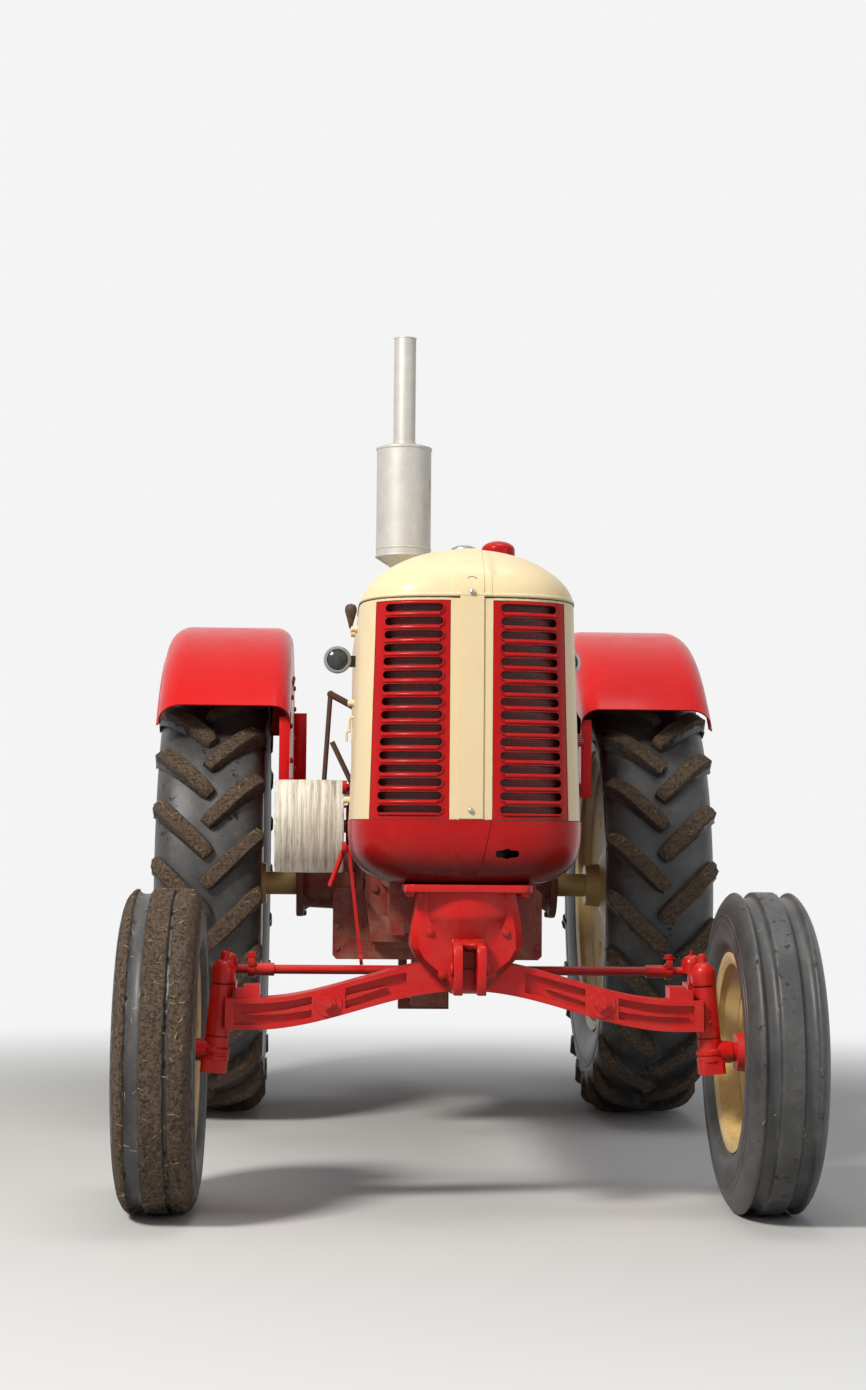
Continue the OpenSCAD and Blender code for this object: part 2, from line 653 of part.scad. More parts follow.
module engine_block() {
  color(red) at_front() {
    box(-140, 140, block_y + 40, bell_y - 20, frame_z + 24, block_z);
    box(-165, 165, bell_y - 60, bell_y, frame_z, block_z);
    box(-130, 130, block_y, block_y + 41, frame_z + 34, block_z + 10);
    translate([0, 0, fan_z]) cyl_y(14, fan_y, block_y + 1);
    translate([0, 0, fan_z]) cyl_y(44, block_y - 6, block_y + 1);
    for (i = [0:3]) translate([0, block_y + 150 + i * 170, frame_z + 130]) cyl_x(30, 139, 146);
  }
}
module cylinder_head() {
  color(red) at_front() {
    box(-head_half, head_half, block_y + 55, bell_y - 60, block_z, head_z);
    translate([15, (block_y + bell_y) / 2, 0]) along_z(head_z, head_z + 78) rounded(150, bell_y -
      block_y - 170, 30);
    for (i = [0:3]) translate([head_half - 22, block_y + 150 + i * 170, 0]) cyl_z(11, head_z, head_z + 36);
  }
}
module oil_pan() {
  color(red) at_front() along_x(-135, 135) polygon([[block_y + 45, frame_z + 24], [bell_y - 60, frame_z + 24],
    [bell_y - 60, frame_z - 130], [bell_y - 90, frame_z - 150], [block_y + 370, frame_z - 150],
    [block_y + 280, frame_z - 90], [block_y + 45, frame_z - 90]]);
}
module manifold() {
  x = 205;
  color(rust) at_front() {
    for (i = [0:3]) translate([0, block_y + 140 + i * 175, head_z - 40]) cyl_x(24, -x, -head_half);
    translate([-x, 0, head_z - 40]) cyl_y(30, block_y + 110, block_y + 695);
    translate([-x, stack_y, 0]) cyl_z(28, head_z - 40, head_z + 22);
    translate([0, stack_y, head_z + 22]) cyl_x(26, -x, -stack_x);
    translate([-x, stack_y, head_z + 22]) sphere(28);
    translate([-stack_x, stack_y, 0]) cyl_z(pipe_r + 5, head_z + 1, head_z + 52);
    box(-x - 30, -x + 30, block_y + 370, block_y + 430, head_z - 86, head_z - 40);
  }
}
module carburettor() {
  x = 205;
  color(steel) at_front() translate([-x, block_y + 400, 0]) {
    cyl_z(26, head_z - 200, head_z - 86);
    translate([0, 0, head_z - 150]) cyl_y(30, -52, 46);
    rotate_extrude() translate([0, head_z - 250]) polygon([[0, 0], [30, 0], [38, 8], [38, 44], [30, 56],
      [0, 56]]);
  }
}
module generator() {
  color(black) at_front() {
    translate([205, 0, frame_z + 254]) {
      cyl_y(60, block_y + 130, block_y + 340);
      cyl_y(16, block_y + 80, block_y + 131);
      cyl_y(44, block_y + 84, block_y + 108);
    }
    box(140, 160, block_y + 150, block_y + 320, frame_z + 194, frame_z + 284);
  }
}
module oil_filter() {
  color(red) at_front() {
    translate([200, block_y + 570, 0]) rotate_extrude() translate([0, frame_z + 104]) polygon(concat([[0, 0],
      [44, 0], [52, 10], [52, 176]], arc(0, 176, 52, 24, 0, 90, 5)));
    box(140, 165, block_y + 540, block_y + 600, frame_z + 134, frame_z + 234);
  }
}
module fan() {
  color(red) at_front() translate([0, fan_y, fan_z]) {
    difference() {
      cyl_y(46, 2, 60);
      cyl_y(14 + run, 1, 61);
    }
    intersection() {
      for (a = [45:90:315]) rotate([0, a, 0]) translate([36, 18, -40]) rotate([28, 0, 0]) cube([fan_d / 2,
        5, 80]);
      cyl_y(fan_d / 2, -40, 80);
    }
  }
}
module clutch_housing() {
  color(red) at_front() {
    along_y(bell_y, box_y) polygon([[-frame_half, frame_z - 126], [frame_half, frame_z - 126],
      [box_half, frame_z - 66], [box_half, box_z1 - 80], [150, box_z1 + 80], [-150, box_z1 + 80],
      [-box_half, box_z1 - 80], [-box_half, frame_z - 66]]);
    along_y(box_y - 60, box_y) polygon([[-frame_half - 20, box_z0 + 20], [frame_half + 20, box_z0 + 20],
      [box_half, frame_z - 60], [-box_half, frame_z - 60]]);
  }
}
module gearbox() {
  color(red) at_front() {
    along_y(box_y, box_end_y) polygon([[-box_half + 30, box_z0], [box_half - 30, box_z0], [box_half,
      box_z0 + 40],
      [box_half, box_z1 - 30], [box_half - 30, box_z1], [-box_half + 30, box_z1], [-box_half, box_z1 - 30],
      [-box_half, box_z0 + 40]]);
    along_y(box_y + 20, box_y + 100) polygon([[-330, 575], [-318, 563], [318, 563], [330, 575], [330, 772],
      [318, 783], [-318, 783], [-330, 772]]);
    for (z = [600, 668, 736], x = [-318, 318]) translate([x, 0, z]) cyl_y(9, box_y + 12, box_y + 21);
  }
}
module rear_axle_housing() {
  color(red) at_rear() difference() {
    union() {
      along_y(-200, 200) polygon([[-250, box_z0 - 20], [-230, box_z0 - 40], [230, box_z0 - 40],
        [250, box_z0 - 20], [250, box_z1 - 40], [220, box_z1 - 20], [-220, box_z1 - 20], [-250, box_z1 -
          40]]);
      both_sides() translate([0, 0, rear_z]) turn_x() polygon([[0, 240], [120, 240], [112, 290], [88, 330],
        [84, 410], [96, 425], [116, 430], [116, 455], [0, 455]]);
      translate([0, 0, pto_z]) cyl_y(60, 190, 240);
    }
    both_sides() translate([0, 0, rear_z]) cyl_x(shaft_d / 2 + run, 199, 456);
    translate([0, 0, pto_z]) cyl_y(30 + run, 120, 241);
  }
}
module rear_disc(s) {
  c = rear_gauge / 2;
  rs = rear_seat_d / 2;
  color(cream) side(s) at_rear() translate([0, 0, rear_z]) {
    cyl_x(shaft_d / 2, 201, c - 60);
    difference() {
      turn_x() polygon([[0, c - 174], [shaft_d / 2 + 30, c - 174], [shaft_d / 2 + 36, c - 124],
        [150, c - 94], [260, c - 84], [rs - 82, c - 94], [rs - 40, c - 98], [rs - 40, c - 85],
        [rs - 82, c - 81], [260, c - 70], [142, c - 79], [shaft_d / 2 + 52, c - 90], [shaft_d / 2 + 44,
          c - 30],
        [shaft_d / 2 + 16, c - 22], [shaft_d / 2 + 12, c - 12], [0, c - 12]]);
      ring_of(8, rs - 152) cyl_x(28, c - 134, c - 34);
    }
    ring_of(8, shaft_d / 2 + 80) hex_x(15, c - 92, c - 66);
  }
}
module rear_rim(s) {
  rs = rear_seat_d / 2;
  rf = rs + rear_lip;
  b = rear_tyre_w / 2 - 45;
  color(cream) side(s) at_rear() translate([rear_gauge / 2, 0, rear_z])
    turn_x() polygon([[rs, -b + 4], [rf - 6, -b - 2], [rf, -b - 8], [rf - 4, -b - 16], [rf - 14, -b - 14],
      [rs - 8, -b - 8], [rs - 8, -b + 8], [rs - 40, -b + 34], [rs - 40, b - 34], [rs - 8, b - 8],
      [rs - 8, b + 8], [rf - 14, b + 14], [rf - 4, b + 16], [rf, b + 8], [rf - 6, b + 2], [rs, b - 4],
      [rs, b - 10], [rs - 32, b - 38], [rs - 32, -b + 38], [rs, -b + 10]]);
}
module rear_tyre(s) {
  r1 = rear_tyre_d / 2;
  rc = r1 - lug_h;
  r0 = rear_seat_d / 2;
  w = rear_tyre_w / 2;
  b = w - 45;
  t = w / tan(90 - lug_angle);
  k = lug_w / 2 / cos(lug_angle);
  color(black) side(s) at_rear() translate([rear_gauge / 2, 0, rear_z]) {
    turn_x(96) polygon(concat([[r0, -b + 4], [r0 + rear_lip, -b - 3]],
      arc(r0 + 128, 0, 100, w - 8, -132, -86, 4), [[rc - 62, -w + 12], [rc - 30, -w + 32], [rc - 10, -w + 66],
      [rc, -60], [rc, 60], [rc - 10, w - 66], [rc - 30, w - 32], [rc - 62, w - 12]],
      arc(r0 + 128, 0, 100, w - 8, 86, 132, 4), [[r0 + rear_lip, b + 3], [r0, b - 4]]));
    intersection() {
      for (i = [0:lug_count - 1], m = [0, 1]) rotate([(i + m / 2) * 360 / lug_count, 0, 0]) mirror([m, 0, 0])
        along_z(rc - 70, r1 + 12) polygon([[-10, -t / 2 - k], [14, -t / 2 - k], [w, t / 2 - k], [w,
          t / 2 + k],
          [w - 8, t / 2 + k], [-10, -t / 2 + k - 10]]);
      turn_x(96) polygon([[rc - 90, -w], [r1 - 82, -w], [r1 - 46, -w + 12], [r1 - 14, -w + 42], [r1, -w + 84],
        [r1, w - 84], [r1 - 14, w - 42], [r1 - 46, w - 12], [r1 - 82, w], [rc - 90, w]]);
    }
  }
}
module fender_profile() {
  ri = fender_arc_r;
  q = 80;
  p = 58;
  polygon(concat([[ri - q - 16, fender_out + 8], [ri - q - 6, fender_out]],
    arc(ri - q, fender_out - q, q, q, 90, 0, 8), arc(ri - p, fender_in + p, p, p, 0, -90, 6),
    [[ri - 200, fender_in], [ri - 200, fender_in + sheet]],
    arc(ri - p, fender_in + p, p - sheet, p - sheet, -90, 0, 6),
    arc(ri - q, fender_out - q, q - sheet, q - sheet, 0, 90, 8),
    [[ri - q - 8, fender_out - sheet], [ri - q - 20, fender_out + 4]]));
}
module fender(s) {
  color(red) side(s) at_rear() {
    translate([0, 0, rear_z + fender_arc_z]) rotate([0, 90, 0]) rotate([0, 0, 122])
      rotate_extrude(angle = 115, $fn = 160) fender_profile();
    // inner panel with turned flanges, down to the platform
    along_x(fender_in, fender_in + sheet) polygon([[-fender_reach + 20, fender_lip_z - 60],
      [-fender_reach + 20, deck_z - 14], [-420, deck_z - 14], [-330, rear_z + 180], [330, rear_z + 180],
      [440, deck_z - 14], [fender_reach - 130, deck_z - 14], [fender_reach - 130, fender_lip_z],
      for (a = [20:10:160]) [(fender_arc_r - 180) * cos(a), rear_z + fender_arc_z + (fender_arc_r - 180)
        * sin(a)]]);
    box(fender_in, fender_in + 34, -fender_reach + 16, -fender_reach + 22, deck_z - 14, fender_lip_z - 40);
    box(fender_in - 46, fender_in + sheet, fender_reach - 134, fender_reach - 128, deck_z + 1, fender_lip_z);
  }
}
module pulley_drive() {
  color(red) at_front() translate([0, pulley_y, pulley_z]) difference() {
    turn_x() polygon([[0, -230], [112, -230], [112, -246], [86, -256], [74, -284], [60, -294], [0, -294]]);
    cyl_x(20 + run, -301, -240);
  }
}
module belt_pulley() {
  r = pulley_d / 2;
  x0 = -301 - pulley_w;
  color([0.85, 0.83, 0.76]) at_front() translate([0, pulley_y, pulley_z]) {
    cyl_x(20, x0 + 20, -241);
    turn_x() polygon([[r - 9, x0], [r - 3, x0], [r, x0 + 5], [r + 1, x0 + pulley_w / 2], [r, -306], [r -
      3, -301],
      [r - 9, -301]]);
    turn_x() polygon([[19, x0 + 40], [48, x0 + 40], [60, x0 + pulley_w / 2 - 8], [r - 6, x0 +
      pulley_w / 2 - 8],
      [r - 6, x0 + pulley_w / 2 + 8], [60, x0 + pulley_w / 2 + 8], [40, -320], [19, -320]]);
    ring_of(4, 38) hex_x(9, x0 + 34, x0 + 46);
  }
}
module fork(z) {
  translate([0, bell_y - 60, z]) {
    cyl_x(11, -306, -box_half);
    cyl_x(21, -308, -294);
  }
}
module pulley_linkage() {
  color(red) at_front() {
    fork(pulley_z + 115);
    fork(pulley_z - 68);
    // bracket on the clutch housing's front face
    along_x(-box_half, -box_half + 42) polygon([[bell_y, pulley_z - 96], [bell_y, pulley_z + 140],
      [bell_y - 72, pulley_z + 140], [bell_y - 84, pulley_z + 120], [bell_y - 84, pulley_z + 96],
      [bell_y - 40, pulley_z + 70], [bell_y - 40, pulley_z - 30], [bell_y - 84, pulley_z - 50],
      [bell_y - 84, pulley_z - 90], [bell_y - 78, pulley_z - 96]]);
    // flat link down to the brake rod's eye, and the thin rod beside it
    translate([-284, bell_y - 60, pulley_z - 68]) rotate([0, -7, 0]) {
      box(-8, 2, -13, 13, -330, 0);
      translate([0, 0, -330]) cyl_x(18, -8, 2);
    }
    translate([-302, bell_y - 60, pulley_z - 72]) rotate([0, 20, 0]) cyl_z(8, -116, 0);
  }
}
module pto_shaft() {
  color(steel) at_rear() translate([0, 0, pto_z]) {
    cyl_y(30, 122, 244);
    cyl_y(pto_d / 2, 243, 340);
  }
}
module drawbar() {
  z0 = 380;
  color(red) at_rear() difference() {
    union() {
      box(-40, 40, -300, drawbar_reach, z0, z0 + drawbar_t);
      box(-60, 60, -330, -250, z0, box_z0);
      both_sides() box(60, 90, 120, 180, z0 - 40, box_z0 - 40);
      box(-90, 90, 120, 180, z0 - 40, z0);
      translate([0, drawbar_reach - 45, 0]) cyl_z(40, z0, z0 + drawbar_t);
    }
    translate([0, drawbar_reach - 45, 0]) cyl_z(drawbar_pin_d / 2, z0 - 80, z0 + 120);
  }
}
module platform() {
  e = fender_in - 1;
  color(red) at_rear() {
    box(-e, e, -fender_reach + 90, -205, deck_z - 8, deck_z);
    box(-box_half, box_half, -206, 420, deck_z - 8, deck_z);
    both_sides() box(box_half - 50, box_half, -fender_reach + 130, -fender_reach + 180, box_z1, deck_z - 7);
    box(-100, 100, -150, 150, box_z1 - 20, deck_z - 7);
    both_sides() box(e - 22, e, -fender_reach + 90, -205, deck_z, deck_z + 36);
  }
}
module seat() {
  color(red) at_rear() {
    along_x(-34, 34) polygon([[60, deck_z], [110, deck_z], [104, deck_z + 88], [330, deck_z + 88],
      [330, deck_z + 102], [70, deck_z + 102]]);
    translate([0, 230, deck_z + 102]) {
      cyl_z(56, 0, 60);
      difference() {
        along_z(58, 150) rounded(seat_w, 400, 90);
        along_z(70, 160) rounded(seat_w - 24, 376, 80);
        box(-300, 300, -300, -60, 104, 200);
      }
      along_y(164, 196) polygon(concat([[-seat_w / 2 + 30, 120]], [[seat_w / 2 - 30, 120]],
        arc(0, 170, seat_w / 2 - 20, 100, 0, 180, 12)));
    }
  }
}
module dash() {
  color(red) at_front() {
    along_y(hood_back + 2, hood_back + 60) polygon(concat([[shell_half_top - 36, hood_z0]],
      [for (u = DOME_U) [(shell_half_top - 20) * dome_w(u), seam_z + (dome_z - 12 - seam_z) * u]],
      flip(concat([[shell_half_top - 36, hood_z0]],
      [for (u = DOME_U) [(shell_half_top - 20) * dome_w(u), seam_z + (dome_z - 12 - seam_z) * u]]))));
    box(-120, 120, hood_back + 2, hood_back + 140, box_z1, hood_z0 + 1);
  }
}
module column_frame() {
  at_front() translate([0, column_y, column_z]) rotate([-column_tilt, 0, 0]) children();
}
module steering_column() {
  color(red) difference() {
    column_frame() rotate_extrude() polygon([[0, -60], [44, -60], [44, 40], [30, 60], [26, 70], [26, 240],
      [22, 250], [0, 250]]);
    column_frame() cyl_z(12 + run, -20, 260);
    at_front() box(-300, 300, hood_back - 100, hood_back + 60, 1000, 1700);
  }
}
module steering_wheel() {
  color(black) column_frame() {
    cyl_z(12, -15, 330);
    rotate_extrude() polygon([[0, 300], [30, 300], [38, 316], [38, 332], [26, 346], [0, 350]]);
    translate([0, 0, 330]) rotate_extrude($fn = 72) translate([wheel_d / 2, 0]) circle(grip_d / 2, $fn = 20);
    for (a = [90, 210, 330]) rotate([0, 0, a]) translate([0, 0, 326]) cyl_x(7, 20, wheel_d / 2);
  }
}
module pedal(x, x0, tilt) {
  translate([0, box_y + 80, deck_z - 60]) {
    cyl_x(14, min(x, x0), max(x, x0));
    translate([x, 0, 0]) rotate([tilt, 0, 0]) {
      translate([-9, -9, -12]) cube([18, 18, 250]);
      translate([-38, -50, 232]) cube([76, 90, 12]);
      rotate([0, 90, 0]) cylinder(r = 24, h = 36, center = true);
    }
  }
}
module pedals() {
  color(red) at_front() {
    pedal(shell_half_top + 53, box_half, 20);
    pedal(shell_half_top + 138, box_half, 20);
  }
}
module hand_levers() {
  y = hood_back + 80;
  color(rust) at_front() {
    // hook-handled lever
    translate([-366, y, box_z1 - 40]) cyl_z(14, 0, 60);
    translate([-366, y, box_z1]) rotate([0, 3.5, 0]) cyl_z(8, 0, 330);
    translate([-345, y, box_z1 + 328]) sphere(12);
    translate([-345, y, box_z1 + 328]) rotate([0, 118, 0]) cyl_z(11, 0, 88);
    box(-384, -box_half, y - 20, y + 20, box_z1 - 40, box_z1 - 31);
    // clutch lever on the upper fork's pin
    translate([0, bell_y - 60, pulley_z + 115]) {
      difference() {
        union() {
          cyl_x(18, -282, -266);
          translate([-274, 0, 0]) rotate([0, -26, 0]) cyl_z(8, 0, 152);
        }
        cyl_x(11, -320, -200);
      }
    }
  }
}
module lamp(s) {
  color(black) side(s) at_front() {
    translate([shell_half_top + 52, stack_y + 130, 1448]) rotate([90, 0, 0]) rotate_extrude() polygon(concat(
      [[0, -60]], arc(0, -24, 36, 36, -90, 0, 6), [[38, 8], [34, 12], [0, 16]]));
    box(shell_half_top, shell_half_top + 52, stack_y + 140, stack_y + 162, 1430, 1462);
  }
}

front_bolster();
front_hitch();
side_frame();
axle_pin();
front_axle();
knuckle(1);  // knuckle_left
knuckle(-1);  // knuckle_right
front_hub(1);  // front_hub_left
front_hub(-1);  // front_hub_right
front_rim(1);  // front_rim_left
front_rim(-1);  // front_rim_right
front_tyre(1);  // front_tyre_left
front_tyre(-1);  // front_tyre_right
steering_arm();
tie_rod();
nose_shell();
dome();
grille(1);  // grille_left
grille(-1);  // grille_right
grille_screen();
centre_strip();
chin_pan();
radiator();
radiator_cap();
intake_cap();
hood();
exhaust();
engine_block();
cylinder_head();
oil_pan();
manifold();
carburettor();
generator();
oil_filter();
fan();
clutch_housing();
gearbox();
rear_axle_housing();
rear_disc(1);  // rear_disc_left
rear_disc(-1);  // rear_disc_right
rear_rim(1);  // rear_rim_left
rear_rim(-1);  // rear_rim_right
rear_tyre(1);  // rear_tyre_left
rear_tyre(-1);  // rear_tyre_right
fender(1);  // fender_left
fender(-1);  // fender_right
pulley_drive();
belt_pulley();
pulley_linkage();
pto_shaft();
drawbar();
platform();
seat();
dash();
steering_column();
steering_wheel();
pedals();
hand_levers();
lamp(1);  // lamp_left
lamp(-1);  // lamp_right
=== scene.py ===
"""Dresses the vintage field tractor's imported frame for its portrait.

Every length is in metres in the frame's own axes: +Z up, the tractor faces -Y,
and +X is its own left-hand side.
"""

from __future__ import annotations

import logging
import random
from collections.abc import Callable, Sequence
from dataclasses import dataclass
from enum import Enum
from math import asin, cos, hypot, pi, radians, sin

import bmesh
import bpy
from mathutils import Matrix, Vector, noise


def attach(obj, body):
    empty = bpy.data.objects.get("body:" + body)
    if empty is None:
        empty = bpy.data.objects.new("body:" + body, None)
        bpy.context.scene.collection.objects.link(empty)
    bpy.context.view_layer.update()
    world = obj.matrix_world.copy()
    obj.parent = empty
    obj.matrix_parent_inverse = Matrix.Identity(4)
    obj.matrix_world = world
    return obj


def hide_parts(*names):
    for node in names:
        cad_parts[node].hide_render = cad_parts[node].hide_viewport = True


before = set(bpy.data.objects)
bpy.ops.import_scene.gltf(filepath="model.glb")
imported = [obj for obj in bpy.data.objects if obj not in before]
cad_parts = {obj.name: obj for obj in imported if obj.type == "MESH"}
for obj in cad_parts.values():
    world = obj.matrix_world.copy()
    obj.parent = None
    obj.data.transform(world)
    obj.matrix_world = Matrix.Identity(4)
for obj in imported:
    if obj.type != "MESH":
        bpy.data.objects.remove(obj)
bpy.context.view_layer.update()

log = logging.getLogger("tractor")

Colour = tuple[float, float, float, float]
Pair = tuple[float, float]
Place = tuple[float, float, float]
Point = Sequence[float]
Socket = bpy.types.NodeSocket
Sockets = bpy.types.bpy_prop_collection
Verts = list[bmesh.types.BMVert]

# Places of the frame that the forms refer to, in metres
FRONT_Y = -1.3475
REAR_Y = 0.9025
SPIN_Z = 0.405
REAR_Z = 0.785
FRONT_X = 0.762
REAR_X = 0.734
SEAM_Z = 1.540
SHELL_Z = 0.985
FRAME_Z = 0.826
DOME_Z = 1.690

ARC_Z = REAR_Z - 0.0273
ARC_R = 0.9223

# The right-hand side comes first; its tyres are the muddier ones
SIDES = (-1, 1)
FRONT_MUD = {-1: 1.0, 1: 0.3}
REAR_MUD = {-1: 1.0, 1: 0.8}

UP = Vector((0, 0, 1))
LEFT = Vector((1, 0, 0))
BACK = Vector((0, 1, 0))
FULL_TURN = 2 * pi


def paint(red: float, green: float, blue: float) -> Colour:
    """Gives the linear colour of an sRGB triple from 0 to 255.

    Args:
        red: the red part.
        green: the green part.
        blue: the blue part.

    Returns:
        The colour with a full alpha.
    """
    values = []
    for part in (red, green, blue):
        part /= 255
        values.append(part / 12.92 if part <= 0.04045 else ((part + 0.055) / 1.055) ** 2.4)
    return (values[0], values[1], values[2], 1.0)


GREY = (0.5, 0.5, 0.5, 1.0)


def hand(side: int) -> str:
    """Gives the name of a side; +1 is the tractor's left."""
    return "left" if side > 0 else "right"


def front(x: float, y: float, z: float) -> Vector:
    """Gives a point whose place along is measured from the front axle."""
    return Vector((x, FRONT_Y + y, z))


def rear(x: float, y: float, z: float) -> Vector:
    """Gives a point whose place along is measured from the rear axle."""
    return Vector((x, REAR_Y + y, z))


def circle(count: int, radius: float, first: float = 0.0) -> list[Pair]:
    """Gives points spaced evenly round a circle, from a first angle in degrees."""
    turns = [radians(first + 360 / count * step) for step in range(count)]
    return [(radius * cos(turn), radius * sin(turn)) for turn in turns]


def turned_at(centre: Point, angle: float, axis: str) -> Matrix:
    """Gives the transform that turns by an angle about an axis and moves to a centre."""
    return Matrix.Translation(centre) @ Matrix.Rotation(angle, 4, axis)


def placed(name: str, data: bpy.types.ID) -> bpy.types.Object:
    """Puts a mesh, lamp or camera into the scene.

    Args:
        name: the object's name.
        data: its mesh, lamp or camera.

    Returns:
        The new object.
    """
    piece = bpy.data.objects.new(name, data)
    bpy.context.scene.collection.objects.link(piece)
    return piece


def edges_within(verts: Verts) -> list[bmesh.types.BMEdge]:
    """Gives the edges whose two ends are both among some vertices."""
    inside = set(verts)
    return list({e for v in verts for e in v.link_edges if e.verts[0] in inside and e.verts[1] in inside})


class Axis(Enum):
    """The three axes that turned pieces and bolts point along."""

    X = (1.0, 0.0, 0.0)
    Y = (0.0, 1.0, 0.0)
    Z = (0.0, 0.0, 1.0)

    def vector(self) -> Vector:
        """Gives the axis as a vector."""
        return Vector(self.value)

    def turn(self) -> Matrix:
        """Gives the turn that brings +Z onto the axis."""
        return UP.rotation_difference(self.vector()).to_matrix().to_4x4()


# Node groups


class Wiring:
    """Adds and links the nodes of one tree."""

    def __init__(self, tree: bpy.types.NodeTree) -> None:
        """Keeps the tree that is wired."""
        self.tree = tree

    def add(self, kind: str, inputs: dict | None = None, **settings: object) -> bpy.types.Node:
        """Adds a node.

        Args:
            kind: the node's type name.
            inputs: values or sockets for its inputs, by name or index.
            settings: the node's own properties.

        Returns:
            The new node.
        """
        node = self.tree.nodes.new(kind)
        for key, value in settings.items():
            setattr(node, key, value)
        for key, value in (inputs or {}).items():
            self.link(value, node.inputs[key])
        return node

    def link(self, value: object, socket: Socket) -> None:
        """Links a value's socket to an input, or sets a plain value there.

        Args:
            value: a socket or a plain value.
            socket: the input.
        """
        if isinstance(value, Socket):
            self.tree.links.new(value, socket)
        else:
            socket.default_value = value

    def math(self, operation: str, first: object, second: object = 0.0, clamp: bool = False) -> Socket:
        """Adds a Math node and gives its value."""
        node = self.add("ShaderNodeMath", {0: first, 1: second}, operation=operation, use_clamp=clamp)
        return node.outputs[0]

    def times(self, first: object, second: object, clamp: bool = False) -> Socket:
        """Multiplies two values."""
        return self.math("MULTIPLY", first, second, clamp)

    def plus(self, first: object, second: object, clamp: bool = False) -> Socket:
        """Adds two values."""
        return self.math("ADD", first, second, clamp)

    def noise(self, vector: object, scale: object, detail: float = 4.0, rough: float = 0.55) -> Socket:
        """Adds a noise of one scale and gives its factor."""
        inputs = {"Vector": vector, "Scale": scale, "Detail": detail, "Roughness": rough}
        return self.add("ShaderNodeTexNoise", inputs).outputs["Fac"]

    def band(self, value: object, low: object, high: object, start: float = 0.0, end: float = 1.0) -> Socket:
        """Spreads a value between two limits over start to end, clamped."""
        inputs = {"Value": value, "From Min": low, "From Max": high, "To Min": start, "To Max": end}
        return self.add("ShaderNodeMapRange", inputs).outputs["Result"]

    def mix(self, factor: object, first: object, second: object) -> Socket:
        """Mixes two colours."""
        return self.add("ShaderNodeMix", {"Factor": factor, 6: first, 7: second}, data_type="RGBA").outputs[2]

    def stretch(self, vector: object, scale: Sequence[float]) -> Socket:
        """Scales coordinates per axis."""
        return self.add("ShaderNodeMapping", {"Vector": vector, "Scale": tuple(scale)}).outputs["Vector"]


